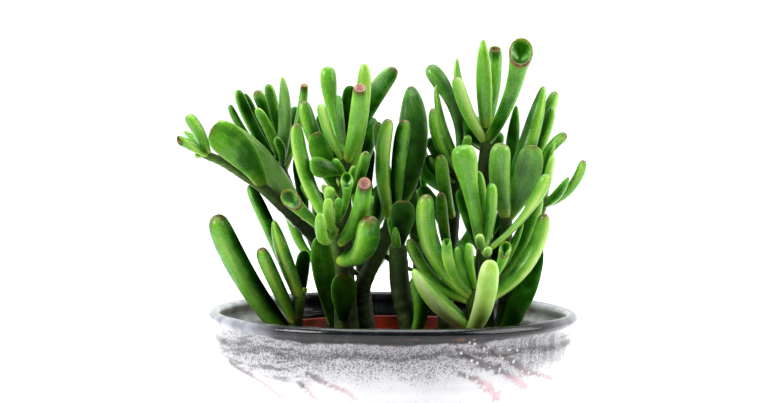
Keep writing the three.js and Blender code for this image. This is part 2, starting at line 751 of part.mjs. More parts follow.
function nurseryGeometry() {
  const { topRadius, topHeight, bottomRadius, bottomHeight, bandHeight, bandStep, wall } = NURSERY;
  const { footRound, bandRound, lipFlare, lipRound, drain } = NURSERY;
  const bandFoot = topHeight - bandHeight;
  const floorTop = bottomHeight + wall;
  const profile = [
    [0, bottomHeight], [bottomRadius - footRound, bottomHeight], [bottomRadius, bottomHeight + footRound],
    [topRadius - bandStep, bandFoot], [topRadius, bandFoot + bandRound],
    [topRadius + lipFlare, topHeight - lipRound], [topRadius, topHeight],
    [topRadius - wall, topHeight - lipRound], [topRadius - wall, bandFoot + wall],
    [nurseryInside(bandFoot), bandFoot], [nurseryInside(floorTop), floorTop], [0, floorTop],
  ];
  let solid = turnedSolid(profile, NURSERY.segments);
  for (let index = 0; index < drain.count; index++) {
    const angle = (index / drain.count) * 2 * Math.PI;
    const hole = new THREE.CylinderGeometry(drain.radius, drain.radius, drain.depth, drain.sides);
    hole.rotateX(Math.PI / 2);
    hole.translate(drain.circle * Math.cos(angle), drain.circle * Math.sin(angle), bottomHeight);
    solid = solid.subtract(solidOf(hole));
  }
  return geometryOf(solid);
}

function soilGeometry(stems) {
  const bottom = NURSERY.bottomHeight + NURSERY.wall + TOUCH_GAP;
  const bandFoot = NURSERY.topHeight - NURSERY.bandHeight;
  const edge = nurseryInside(bandFoot) - 2 * TOUCH_GAP;
  const top = SOIL.topHeight;
  const profile = [
    [0, bottom], [nurseryInside(bottom) - 2 * TOUCH_GAP, bottom], [edge, bandFoot],
    [edge, top - SOIL.edgeDrop], [edge - SOIL.edgeWidth, top],
    ...SOIL.rings.map((radius) => [radius, top]), [0, top],
  ];
  const lumpy = new THREE.LatheGeometry(profile.map(([r, z]) => new THREE.Vector2(r, z)), SOIL.segments);
  lumpy.rotateX(Math.PI / 2);
  const position = lumpy.attributes.position;
  for (let index = 0; index < position.count; index++) {
    if (position.getZ(index) < top - WELD) continue;
    const waveX = Math.sin(position.getX(index) * SOIL.bumpTurns.x);
    const waveY = Math.cos(position.getY(index) * SOIL.bumpTurns.y);
    position.setZ(index, top + SOIL.bumpHeight * waveX * waveY);
  }
  const holes = stems.map((stem) => solidOf(rootPeg(stem, SOIL.holeClearance, SOIL.holeHeight)));
  return geometryOf(holes.reduce((soil, hole) => soil.subtract(hole), solidOf(lumpy)));
}

// ---------------------------------------------------------------- the assembly

const MATERIALS = {
  glaze: new THREE.MeshStandardMaterial({ color: 0x6f7376, roughness: 0.18, metalness: 0 }),
  plastic: new THREE.MeshStandardMaterial({ color: 0x8c3a26, roughness: 0.55, metalness: 0 }),
  soil: new THREE.MeshStandardMaterial({ color: 0x2c2119, roughness: 0.95, metalness: 0 }),
  leaf: new THREE.MeshStandardMaterial({ color: 0x3f7a2a, roughness: 0.35, metalness: 0 }),
};

function piece(name, geometry, material) {
  const mesh = new THREE.Mesh(geometry, material);
  mesh.name = name;
  return mesh;
}

const stems = [...STEMS, ...BACK_STEMS.map((stem) => ({ ...stem, leaves: backLeaves(stem) }))];
const leaves = stems.flatMap((stem, index) => stem.leaves.map((row) => layLeaf(stem, index, row)));
settleLeaves(leaves, stems);

const plant = new THREE.Group();
stems.forEach((stem, index) => {
  const own = leaves.filter((leaf) => leaf.stemIndex === index);
  plant.add(piece(stem.name, leafyStem(stem, own), MATERIALS.leaf));
});

const trumpetJade = new THREE.Group();
trumpetJade.add(
  piece("bowl", bowlGeometry(), MATERIALS.glaze),
  piece("nursery_pot", nurseryGeometry(), MATERIALS.plastic),
  piece("soil", soilGeometry(stems), MATERIALS.soil),
  plant,
);

export default trumpetJade;
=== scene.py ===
"""A potted trumpet jade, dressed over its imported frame.

The plant, the pots and the soil are laid out in millimetres, and a mesh becomes metres when it is finished. The
finishes and the studio are in metres. +Z is up, +X is to the right seen from the front, and the front faces -Y.
The origin is the middle of the bowl's foot.
"""

import logging
import math
import random
from dataclasses import dataclass, field
from enum import Enum
from typing import Iterable, Sequence

import bmesh
import bpy
import numpy as np
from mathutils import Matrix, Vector, noise


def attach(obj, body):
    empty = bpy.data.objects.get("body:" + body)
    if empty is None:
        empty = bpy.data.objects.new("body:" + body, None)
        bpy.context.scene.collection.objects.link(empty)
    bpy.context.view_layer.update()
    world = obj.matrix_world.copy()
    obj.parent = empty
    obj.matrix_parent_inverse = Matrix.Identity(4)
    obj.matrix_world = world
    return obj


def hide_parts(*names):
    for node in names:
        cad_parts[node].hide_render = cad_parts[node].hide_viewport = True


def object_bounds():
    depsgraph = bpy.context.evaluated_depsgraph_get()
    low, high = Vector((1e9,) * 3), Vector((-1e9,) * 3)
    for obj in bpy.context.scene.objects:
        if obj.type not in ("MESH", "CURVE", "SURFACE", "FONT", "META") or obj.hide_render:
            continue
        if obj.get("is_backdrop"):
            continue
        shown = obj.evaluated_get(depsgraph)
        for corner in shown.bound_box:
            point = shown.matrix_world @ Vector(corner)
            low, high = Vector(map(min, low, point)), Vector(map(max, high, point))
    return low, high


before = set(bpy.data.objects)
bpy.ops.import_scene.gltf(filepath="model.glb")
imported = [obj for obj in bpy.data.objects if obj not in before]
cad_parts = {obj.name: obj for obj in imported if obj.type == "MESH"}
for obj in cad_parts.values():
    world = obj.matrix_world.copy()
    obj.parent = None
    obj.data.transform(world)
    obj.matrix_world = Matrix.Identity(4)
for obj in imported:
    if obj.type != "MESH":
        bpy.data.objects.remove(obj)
CAD_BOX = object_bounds()

MM = 0.001
WELD = 1e-5
BODY = "root"
TINT_LAYER = "leaf_tint"
WAY_LAYER = "leaf_way"
GLAZE_LAYER = "glaze_runs"
GOLDEN = 0.618034
LOG = logging.getLogger("trumpet_jade")

Point = tuple[float, float, float]
Span = tuple[float, float]
Outline = tuple[Span, ...]
Colour = tuple[float, float, float, float]
Socket = bpy.types.NodeSocket
Finish = bpy.types.Material
Body = bmesh.types.BMesh
Piece = bpy.types.Object


def paint(code: str) -> Colour:
    """Turns a hex colour such as "3f7a2a" into the linear colour that a shader takes."""
    channels = [int(code[index:index + 2], 16) / 255 for index in (0, 2, 4)]
    linear = [value / 12.92 if value <= 0.04045 else ((value + 0.055) / 1.055) ** 2.4 for value in channels]
    return (linear[0], linear[1], linear[2], 1.0)


def smoothstep(value: float, low: float, high: float) -> float:
    """Rises smoothly from 0 at low to 1 at high."""
    share = min(max((value - low) / (high - low), 0.0), 1.0)
    return share * share * (3 - 2 * share)


def mix(low: float, high: float, share: float) -> float:
    """The value between low and high at a share from 0 to 1."""
    return low + (high - low) * share


def spread(index: float) -> float:
    """A value between 0 and 1 that looks random and is the same in every run."""
    return (index * GOLDEN) % 1


# ---- leaf forms and colours


class Form(Enum):
    """The shapes that this plant's leaves grow in."""

    FINGER = "finger"
    POINTED = "pointed"
    CLUB = "club"
    TRUMPET = "trumpet"
    TUBE = "tube"
    SPOON = "spoon"


class Facing(Enum):
    """Where a leaf's upper face looks, as a direction. STEM looks along the stem to its tip."""

    STEM = (0.0, 0.0, 0.0)
    FRONT = (0.0, -1.0, 0.25)
    LEFT = (-1.0, -0.4, 0.2)


@dataclass(frozen=True)
class Shape:
    """How one form is turned and pressed.

    Attributes:
        outline: rows of [share of the length, share of the half width], from the root to the tip.
        body: the coarse outline that keeps leaves apart, without its end points.
        thickness: half thickness as a share of the half width.
        mouth_slope: how far an open mouth tilts to the upper face.
        dish: how flat the upper face is pressed, from 0 to 1.
    """

    outline: Outline
    body: Outline
    thickness: float
    mouth_slope: float = 0.0
    dish: float = 0.0


SHAPES = {
    Form.FINGER: Shape(
        outline=((0, 0), (0, 0.6), (0.08, 0.66), (0.18, 0.76), (0.3, 0.86), (0.45, 0.95), (0.6, 1), (0.74, 1.01),
                 (0.85, 0.98), (0.92, 0.88), (0.965, 0.7), (0.99, 0.42), (1, 0)),
        body=((0, 0.6), (0.3, 0.85), (0.62, 1), (0.86, 0.98), (0.96, 0.68), (1, 0)),
        thickness=0.86,
        dish=0.12,
    ),
    Form.POINTED: Shape(
        outline=((0, 0), (0, 0.6), (0.1, 0.72), (0.25, 0.88), (0.38, 0.97), (0.5, 1), (0.62, 0.96), (0.74, 0.86),
                 (0.84, 0.7), (0.92, 0.5), (0.97, 0.3), (1, 0)),
        body=((0, 0.6), (0.25, 0.88), (0.5, 1), (0.75, 0.86), (0.92, 0.48), (1, 0)),
        thickness=0.82,
        dish=0.15,
    ),
    Form.CLUB: Shape(
        outline=((0, 0), (0, 0.48), (0.12, 0.49), (0.28, 0.51), (0.4, 0.54), (0.52, 0.61), (0.62, 0.7), (0.72, 0.85),
                 (0.8, 0.98), (0.88, 1.01), (0.94, 0.94), (0.98, 0.68), (1, 0)),
        body=((0, 0.48), (0.4, 0.54), (0.62, 0.7), (0.8, 0.98), (0.94, 0.94), (1, 0)),
        thickness=0.92,
    ),
    Form.TRUMPET: Shape(
        outline=((0, 0), (0, 0.5), (0.12, 0.53), (0.28, 0.57), (0.44, 0.63), (0.6, 0.69), (0.72, 0.76), (0.82, 0.85),
                 (0.9, 0.96), (0.945, 1.06), (0.968, 1.1), (0.98, 1.06), (0.978, 0.96), (0.962, 0.8), (0.935, 0.52),
                 (0.915, 0.24), (0.91, 0)),
        body=((0, 0.5), (0.36, 0.6), (0.72, 0.76), (0.9, 0.95), (0.97, 1.1)),
        thickness=0.95,
        mouth_slope=1.1,
    ),
    Form.TUBE: Shape(
        outline=((0, 0), (0, 0.55), (0.08, 0.62), (0.18, 0.71), (0.3, 0.8), (0.45, 0.92), (0.6, 1), (0.74, 0.99),
                 (0.85, 0.94), (0.92, 0.88), (0.96, 0.82), (0.98, 0.75), (0.986, 0.67), (0.976, 0.57), (0.955, 0.4),
                 (0.94, 0.2), (0.935, 0)),
        body=((0, 0.55), (0.3, 0.8), (0.6, 1), (0.85, 0.94), (0.97, 0.8)),
        thickness=0.92,
        mouth_slope=0.6,
    ),
    Form.SPOON: Shape(
        outline=((0, 0), (0, 0.36), (0.12, 0.46), (0.25, 0.57), (0.38, 0.73), (0.5, 0.88), (0.62, 0.98), (0.74, 1.01),
                 (0.84, 0.96), (0.92, 0.8), (0.97, 0.54), (1, 0)),
        body=((0, 0.36), (0.25, 0.57), (0.5, 0.88), (0.74, 1), (0.9, 0.84), (1, 0)),
        thickness=0.48,
        dish=0.9,
    ),
}


class Tint(Enum):
    """What sets a leaf's colour apart, as (tone, blush, bloom).

    Tone runs from -1, deep green, to 1, bright yellow-green. Blush is how red-brown its tip or rim is, and turns
    pink above 1. Bloom is how much pale grey wax lies on it, and below 0 the whole leaf is russet. Some tones
    also carry painted light or shade: the pale one brightens leaves in strong light, SHADY darkens a leaf shaded by
    another, and DEEP darkens the inner and back leaves, partly for their own deeper green and partly as painted
    shade.
    """

    PLAIN = (-0.05, 0.15, 0.0)
    BRIGHT = (0.35, 0.1, 0.0)
    # DEEP: a deeper green, and partly painted shade for the inner and back leaves.
    DEEP = (-0.6, 0.2, 0.0)
    TIPPED = (0.0, 0.8, 0.0)
    DARK_TIPPED = (-0.5, 0.85, 0.0)
    LIVELY = (0.25, 0.7, 0.0)
    ROSY = (0.2, 1.5, 0.0)
    DUSKY = (-0.55, 0.6, 0.05)
    INKY = (-1.1, 0.1, 0.0)
    # Painted shade: SHADY darkens a leaf where another shades it.
    SHADY = (-0.4, 0.6, 0.0)
    CLOUDY = (-0.3, 0.6, 0.1)
    MISTY = (0.25, 0.6, 0.14)
    DUSTY = (-0.1, 0.9, 0.12)
    FADED = (0.1, 0.6, 0.32)
    # Painted light: this pale tone is for leaves that stand in strong light.
    LIT_PALE = (0.85, 0.05, 0.06)
    SUNNY = (0.65, 0.7, 0.05)
    FRESH = (0.65, 0.1, 0.0)
    PEARL = (0.9, 0.0, 0.35)
    RUSSET = (-1.0, 0.3, -0.4)


@dataclass(frozen=True)
class Row:
    """One leaf as it is laid, before the leaves settle.

    Attributes:
        form: its shape.
        share: where its root is along the stem's line, from 0 to 1.
        tip: x, y and the height above the rolled rim's centre.
        width: its full width.
        bow: how far it bends, as a share of its length. A positive bow turns upwards.
        tint: its colour.
        facing: where its upper face looks.
    """

    form: Form
    share: float
    tip: Point
    width: float
    bow: float
    tint: Tint = Tint.PLAIN
    facing: Facing = Facing.STEM


@dataclass(frozen=True)
class Stem:
    """A stem: its node's name, its line from the soil up, its thickness at both ends, and its leaves."""

    name: str
    line: tuple[Point, ...]
    thick: Span
    leaves: tuple[Row, ...] = ()


# Heights in this table are above the centre of the bowl's rolled rim.
STEMS = (
    Stem("low_left_stem", ((-40, -4, -12), (-39, -7, -3), (-38, -9, 4), (-37, -10, 9)), (6, 5.2), (
        Row(Form.FINGER, 0.05, (-70, -20, 41.5), 12.6, 0.06, Tint.SHADY),
        Row(Form.FINGER, 0.35, (-51.6, -18, 29.2), 7.6, -0.02, Tint.TIPPED),
        Row(Form.POINTED, 0.95, (-47.6, -14, 39.5), 8.4, 0.03, Tint.BRIGHT),
        Row(Form.FINGER, 0.6, (-35.5, 1, 26), 6, 0.06, Tint.DEEP),
        Row(Form.FINGER, 0.85, (-58, 9, 52), 6.4, -0.02, Tint.DEEP),
    )),
    Stem("arching_left_stem", ((-24, 11, -12), (-24, 10, 8), (-25.5, 9, 20), (-30, 7, 29), (-37, 5, 36.5),
                               (-44, 3, 43.5), (-52.5, 1, 51.5), (-61, -2, 57.5), (-68, -4, 62), (-75, -6, 65)),
         (7, 3.4), (
        Row(Form.FINGER, 0.98, (-82, -4, 80.5), 6.2, 0.06),
        Row(Form.TUBE, 0.98, (-85, -12, 71), 4.8, 0.08, Tint.TIPPED, Facing.LEFT),
        Row(Form.POINTED, 0.96, (-84, 4, 74), 3.8, 0.08),
        Row(Form.SPOON, 0.66, (-73.8, -9, 74.6), 14.2, 0.02, Tint.SHADY, Facing.FRONT),
        Row(Form.POINTED, 0.44, (-69, 8, 79.5), 13.2, 0.14, Tint.FADED),
        Row(Form.SPOON, 0.03, (-29, -20, 34), 9.6, 0.04, Tint.DEEP, Facing.FRONT),
        Row(Form.FINGER, 0.06, (-23, -8, 31), 6, 0.04, Tint.DEEP),
    )),
    Stem("left_fan_stem", ((-22, 24, -12), (-25, 25, 8), (-33, 24, 30), (-42, 20, 49), (-46, 16, 60)), (6.6, 4.2), (
        Row(Form.FINGER, 0.9, (-66, 8, 84), 4, 0.08),
        Row(Form.FINGER, 0.9, (-63, 14, 90), 5.2, 0.12),
        Row(Form.FINGER, 0.86, (-61, 26, 88.5), 4.6, 0.1),
        Row(Form.CLUB, 0.95, (-54.5, 8, 90), 5.2, 0.08, Tint.TIPPED),
        Row(Form.FINGER, 0.97, (-51, 20, 92.5), 5.2, 0.06),
        Row(Form.FINGER, 0.9, (-55, 0, 82), 4.4, 0.06, Tint.BRIGHT),
        Row(Form.POINTED, 0.99, (-45, 10, 96), 7, 0.02, Tint.FADED),
        Row(Form.FINGER, 0.98, (-48, 2, 71.5), 3.8, 0.03),
        Row(Form.TUBE, 0.96, (-36.2, 26, 92.5), 4, 0.08, Tint.ROSY, Facing.FRONT),
        Row(Form.FINGER, 0.92, (-40, 32, 83), 6, 0.05, Tint.DEEP),
        Row(Form.FINGER, 0.8, (-54, 40, 78), 5.4, 0.1),
        Row(Form.FINGER, 0.58, (-39.5, 34, 62), 5.6, 0.02, Tint.DEEP),
    )),
    Stem("front_rosette_stem", ((-20, -14, -12), (-20, -17, 6), (-20, -20, 20), (-22, -24, 31), (-22, -27, 40)),
         (7, 5.4), (
        Row(Form.SPOON, 0.15, (-19.2, -31, 20), 10.6, 0.1, Tint.RUSSET, Facing.FRONT),
        Row(Form.FINGER, 0.6, (-10, -46, 43), 11, 0.18, Tint.DARK_TIPPED),
        Row(Form.FINGER, 0.9, (-28, -46, 44.5), 5, 0.34, Tint.BRIGHT),
        Row(Form.FINGER, 0.9, (-25, -42, 50), 4.6, 0.2, Tint.FRESH),
        Row(Form.CLUB, 0.97, (-24.5, -34, 54), 5, 0.1, Tint.FRESH),
        Row(Form.TRUMPET, 0.82, (-40, -36, 49.5), 6.6, 0.04, Tint.DUSTY, Facing.FRONT),
        Row(Form.TUBE, 0.74, (-11, -47, 56.5), 7, 0.1, Tint.ROSY, Facing.FRONT),
        Row(Form.FINGER, 0.86, (-8, -30, 50), 3.6, 0.1, Tint.BRIGHT),
        Row(Form.TRUMPET, 0.99, (-18, -38, 57), 4.8, 0.1, Tint.BRIGHT, Facing.FRONT),
        Row(Form.FINGER, 0.99, (-21, -40, 50), 3.2, 0.1, Tint.BRIGHT),
        Row(Form.FINGER, 0.88, (-38, -18, 78), 6.6, 0.14, Tint.LIVELY),
    )),
    Stem("heart_stem", ((-16, 0, -12), (-18, -2, 11), (-19, -6, 31), (-19, -8, 49), (-19, -10, 64)), (6.6, 4.6), (
        Row(Form.SPOON, 0.9, (-32, -22, 61), 8.8, -0.02, Tint.BRIGHT, Facing.FRONT),
        Row(Form.FINGER, 0.86, (-24, -18, 64), 3.8, 0.05),
        Row(Form.FINGER, 0.74, (-11, -26, 67), 5, 0.1, Tint.TIPPED),
        Row(Form.FINGER, 0.72, (-15, -30, 62), 3.2, 0.05, Tint.BRIGHT),
        Row(Form.SPOON, 0.72, (-30.5, -2, 74), 9.4, 0.06, Tint.TIPPED, Facing.FRONT),
        Row(Form.FINGER, 0.8, (-36, 8, 86), 7, 0.1, Tint.TIPPED),
        Row(Form.CLUB, 0.98, (-26, 4, 100), 7, 0.1),
        Row(Form.FINGER, 0.97, (-28.5, -16, 85.5), 5.2, 0.06, Tint.BRIGHT),
        Row(Form.FINGER, 0.96, (-22, 12, 88), 3.6, 0.04),
        Row(Form.TUBE, 0.96, (-13, -20, 92.5), 6.8, 0.06, Tint.ROSY, Facing.FRONT),
        Row(Form.FINGER, 0.8, (-11.4, 0, 101.2), 6.4, 0.08, Tint.BRIGHT),
        Row(Form.FINGER, 0.88, (-17.6, 18, 92), 7.4, 0.04, Tint.DEEP),
        Row(Form.SPOON, 0.88, (1.4, 24, 99), 8.2, -0.1, Tint.DARK_TIPPED, Facing.FRONT),
        Row(Form.FINGER, 0.84, (-30, 26, 80), 6, 0.08, Tint.DEEP),
        Row(Form.FINGER, 0.8, (-8, 34, 78), 7, 0.1, Tint.DEEP),
        Row(Form.FINGER, 0.45, (-11, 14, 46), 6, 0.06, Tint.DEEP),
        Row(Form.FINGER, 0.62, (-36, 8, 53), 7, 0.06, Tint.DEEP),
    )),
    Stem("middle_stem", ((-9, 9, -12), (-13, 7, 4), (-12, 5, 12), (-8, 4, 21), (-2, 4, 33), (3, 2, 47)), (7.6, 6), (
        Row(Form.FINGER, 0.92, (-6.5, 12, 77.5), 5.6, 0.03, Tint.TIPPED),
        Row(Form.FINGER, 0.86, (-1.5, -12, 79.5), 7.2, 0.08, Tint.LIVELY),
        Row(Form.FINGER, 0.95, (5.5, -6, 79), 7.8, 0.02, Tint.DARK_TIPPED),
        Row(Form.POINTED, 0.98, (7, 14, 92), 13.4, -0.1, Tint.DUSKY, Facing.FRONT),
        Row(Form.FINGER, 0.97, (6, 18, 72), 4.6, 0.04, Tint.DEEP),
        Row(Form.FINGER, 0.62, (-5, 8, 52), 6.6, 0.08, Tint.DEEP),
        Row(Form.FINGER, 0.7, (8, 12, 54), 6.4, 0.12, Tint.DEEP),
        Row(Form.FINGER, 0.5, (-2, 24, 34), 6, 0.06, Tint.DEEP),
        Row(Form.SPOON, 0.84, (10, 30, 64), 7.6, 0.1, Tint.DEEP, Facing.FRONT),
        Row(Form.FINGER, 0.56, (-8.5, 26, 66), 5.6, 0.08, Tint.DEEP),
    )),
    Stem("short_front_stem", ((8, -16, -12), (6, -18, 1), (3, -18, 12), (2, -18, 24), (2, -18, 29)), (9.4, 7.2), (
        Row(Form.SPOON, 0.96, (3.8, -26, 48), 10, 0.06, Tint.DUSKY, Facing.FRONT),
        Row(Form.FINGER, 0.97, (-1, -15, 41), 3.6, 0.06, Tint.DEEP),
        Row(Form.POINTED, 0.97, (1, -27, 38), 3.8, 0.1, Tint.BRIGHT),
        Row(Form.FINGER, 0.1, (7.2, -24, 18.5), 7.2, 0.08, Tint.DEEP),
    )),
    Stem("front_right_stem", ((29, -26, -12), (30, -30, -2), (31, -34, 7), (32, -36, 14)), (6.6, 5.6), (
        # The two low front leaves are painted pale as lit by strong light.
        Row(Form.POINTED, 0.35, (7.4, -46, 23), 10.4, 0.05, Tint.LIT_PALE),
        Row(Form.FINGER, 0.3, (36.8, -57, 27.5), 8.6, 0.14, Tint.LIT_PALE),
        Row(Form.FINGER, 0.85, (13, -34, 51), 9.4, 0.18, Tint.TIPPED),
        Row(Form.FINGER, 0.72, (59, -32, 43.5), 7.4, 0.2, Tint.TIPPED),
        Row(Form.FINGER, 0.75, (6, -26, 33), 5.8, 0.16, Tint.TIPPED),
        Row(Form.TUBE, 0.9, (20.5, -48, 34), 4.8, 0.14, Tint.BRIGHT, Facing.FRONT),
        Row(Form.TRUMPET, 0.88, (43, -50, 31.5), 4.6, 0.1, Tint.LIVELY, Facing.FRONT),
        Row(Form.FINGER, 0.97, (29, -46, 33), 4.4, 0.05, Tint.BRIGHT),
        Row(Form.FINGER, 0.97, (25, -38, 31), 5, 0.08),
        Row(Form.FINGER, 0.84, (59, -18, 50), 6.6, 0.2),
        Row(Form.POINTED, 0.95, (51, -24, 40), 4.4, 0.12),
    )),
    Stem("right_middle_stem", ((37, -10, -12), (37, -13, 4), (36, -20, 17), (36, -26, 24), (35, -28, 29)), (6.6, 5), (
        Row(Form.CLUB, 0.97, (27, -30, 70), 10.4, 0.06, Tint.BRIGHT),
        Row(Form.FINGER, 0.95, (32.5, -24, 59.5), 5, 0.04, Tint.BRIGHT),
        Row(Form.FINGER, 0.98, (38, -31, 55), 5.4, 0.04),
        Row(Form.CLUB, 0.93, (60, -36, 59), 5.8, 0.08, Tint.BRIGHT),
        Row(Form.FINGER, 0.86, (26.5, -14, 52), 6.4, 0.08, Tint.DEEP),
        Row(Form.FINGER, 0.99, (33.5, -38, 35), 3.8, 0.1, Tint.PEARL),
        Row(Form.FINGER, 0.99, (36, -40, 31), 3.8, 0.1, Tint.PEARL),
    )),
    Stem("right_tall_stem", ((34, 13, -12), (35, 10, 9), (37, 4, 34), (36, 0, 55), (37, -2, 67), (37, -2, 75)),
         (7, 4.6), (
        Row(Form.POINTED, 0.98, (35.7, -6, 111), 6.8, 0.02, Tint.BRIGHT),
        Row(Form.TUBE, 0.97, (41.1, 8, 107.5), 6.4, 0.06, Tint.TIPPED, Facing.FRONT),
        Row(Form.TRUMPET, 0.86, (50.4, -16, 107), 9.2, 0.08, Tint.DARK_TIPPED, Facing.FRONT),
        Row(Form.FINGER, 0.86, (25, -10, 96), 6.4, 0.06, Tint.SUNNY),
        Row(Form.POINTED, 0.94, (25.7, 8, 103.5), 5, 0.13, Tint.BRIGHT),
        Row(Form.FINGER, 0.9, (34.5, 14, 79), 4.4, 0.05, Tint.BRIGHT),
        Row(Form.FINGER, 0.8, (27, 26, 82), 5.4, 0.1, Tint.DEEP),
        Row(Form.FINGER, 0.72, (44, 30, 72), 6, 0.12, Tint.DEEP),
    )),
    Stem("grey_tall_stem", ((21, 20, -12), (22, 18, 8), (24, 14, 33), (25.5, 10, 52), (27, 6, 62)), (6.6, 4.6), (
        Row(Form.CLUB, 0.97, (14, 6, 100), 7.4, -0.15, Tint.CLOUDY),
        Row(Form.POINTED, 0.97, (17, -4, 93), 4.4, 0.06, Tint.BRIGHT),
        Row(Form.FINGER, 0.9, (16, -12, 83.5), 5.4, 0.1, Tint.LIVELY),
        Row(Form.FINGER, 0.85, (15, 12, 71), 6, 0.1, Tint.DEEP),
        Row(Form.FINGER, 0.78, (14, 0, 64), 6, 0.1, Tint.DEEP),
        Row(Form.FINGER, 0.97, (30, -8, 72.5), 3.8, 0.06, Tint.BRIGHT),
        Row(Form.FINGER, 0.56, (19, -6, 65), 6, 0.06, Tint.LIVELY),
        Row(Form.FINGER, 0.4, (19, -8, 50), 5, 0.06, Tint.TIPPED),
        Row(Form.FINGER, 0.2, (14, 22, 28), 7.2, 0.08, Tint.DEEP),
        Row(Form.FINGER, 0.55, (15, 26, 53), 7.3, 0.1, Tint.DEEP),
        Row(Form.SPOON, 0.7, (9, 38, 60), 10, 0.12, Tint.DEEP, Facing.FRONT),
        Row(Form.FINGER, 0.8, (22, 40, 70), 7.2, 0.1, Tint.DEEP),
    )),
    Stem("far_right_stem", ((41, 12, -12), (46, 9, 3), (53, 4, 26), (57, 0, 38), (60, -2, 45)), (6.2, 4.2), (
        Row(Form.FINGER, 0.97, (75.5, -10, 63), 5, 0.14, Tint.TIPPED),
        Row(Form.POINTED, 0.97, (69, -18, 57), 4.4, 0.1),
        Row(Form.CLUB, 0.9, (69, -9, 73), 5, 0.16, Tint.TIPPED),
        Row(Form.POINTED, 0.93, (64, -12, 71), 4.4, 0.06),
        Row(Form.FINGER, 0.99, (60, -14, 66), 3.8, 0.05, Tint.LIT_PALE),
        Row(Form.FINGER, 0.8, (62, 26, 60), 6, 0.15, Tint.DEEP),
        Row(Form.FINGER, 0.7, (60, 34, 58), 5.6, 0.15, Tint.DEEP),
    )),
    Stem("right_spoon_stem", ((43, -3, -12), (45, -4, 11), (45, -6, 31), (45, -6, 45)), (6.2, 4.8), (
        Row(Form.POINTED, 0.98, (60.2, 2, 92.5), 9.6, 0.01),
        Row(Form.POINTED, 0.96, (50, 8, 84.5), 6.2, 0.03),
        Row(Form.CLUB, 0.9, (66.5, 16, 90), 5.4, 0.02, Tint.TIPPED),
        Row(Form.FINGER, 0.92, (64, 8, 83.5), 5.6, 0.05),
        Row(Form.FINGER, 0.88, (43.6, -18, 70), 8.8, 0.04, Tint.MISTY),
        Row(Form.SPOON, 0.84, (57.5, -14, 69), 11.4, 0.06, Tint.MISTY, Facing.FRONT),
        Row(Form.POINTED, 0.04, (58, -15, 30), 12, 0.28, Tint.INKY),
        Row(Form.FINGER, 0.06, (51.5, -8, 17.5), 7.2, 0.1, Tint.DEEP),
    )),
)
BACK_LINES = (
    ("back_left_stem", ((-24, 33, -12), (-25, 37, 8), (-26, 40, 26)), (6.4, 4.6), 75),
    ("back_middle_stem", ((-10, 38, -12), (-12.5, 42, 12), (-13.5, 45, 34)), (6.6, 4.6), 55),
    ("back_right_stem", ((10, 35, -12), (11, 39, 14), (11, 43, 42)), (6.6, 4.6), 10),
    ("back_far_stem", ((30, 30, -12), (37, 33, 10), (43, 36, 30)), (6.4, 4.6), 105),
)


@dataclass(frozen=True)
class Surroundings:
    """Heights and radii of what the leaves stand clear of: the rolled rim, the nursery pot's lip and the soil."""

    rim_height: float = 93.6
    rim_radius: float = 71.6
    rim_tube: float = 2.4
    lip_height: float = 88.0
    lip_radius: float = 51.2
    lip_tube: float = 1.3
    soil_height: float = 80.0
    soil_bump: float = 0.8


POTS = Surroundings()


class StemLine:
    """A smooth line through a stem's points, of the centripetal Catmull-Rom kind."""

    def __init__(self, line: Sequence[Point]) -> None:
        """Keeps the points in the row frame, with one more beyond each end."""
        points = [np.array([x, y, POTS.rim_height + height], float) for x, y, height in line]
        self.count = len(points)
        self.points = [2 * points[0] - points[1], *points, 2 * points[-1] - points[-2]]

    def point(self, share: float) -> np.ndarray:
        """Works out a point of the line.

        Args:
            share: how far along it the point is, from 0 at the soil to 1 at the tip.

        Returns:
            The point, in millimetres.
        """
        place = (self.count - 1) * share
        span = min(int(place), self.count - 2)
        weight = place - span
        before, start, end, after = self.points[span:span + 4]
        first, middle, last = (float(np.sum((b - a) ** 2)) ** 0.25
                               for a, b in ((before, start), (start, end), (end, after)))
        leave = (start - before) / first - (end - before) / (first + middle) + (end - start) / middle
        arrive = (end - start) / middle - (after - start) / (middle + last) + (after - end) / last
        leave, arrive = leave * middle, arrive * middle
        square = 3 * (end - start) - 2 * leave - arrive
        cube = 2 * (start - end) + leave + arrive
        return start + leave * weight + square * weight ** 2 + cube * weight ** 3

    def tangent(self, share: float, step: float = 1e-4) -> np.ndarray:
        """The line's direction at a share."""
        along = self.point(min(share + step, 1)) - self.point(max(share - step, 0))
        return along / np.linalg.norm(along)

    def frame_at(self, share: float) -> tuple[np.ndarray, np.ndarray, np.ndarray]:
        """The line's direction at a share, the normal to it that is nearest the front, and its side."""
        along = self.tangent(share)
        front = np.array([0.0, -1.0, 0.0])
        normal = front - along * float(front @ along)
        normal /= np.linalg.norm(normal)
        return along, normal, np.cross(along, normal)

    def length(self, divisions: int = 200) -> float:
        """The line's length."""
        points = np.array([self.point(index / divisions) for index in range(divisions + 1)])
        return float(np.linalg.norm(np.diff(points, axis=0), axis=1).sum())


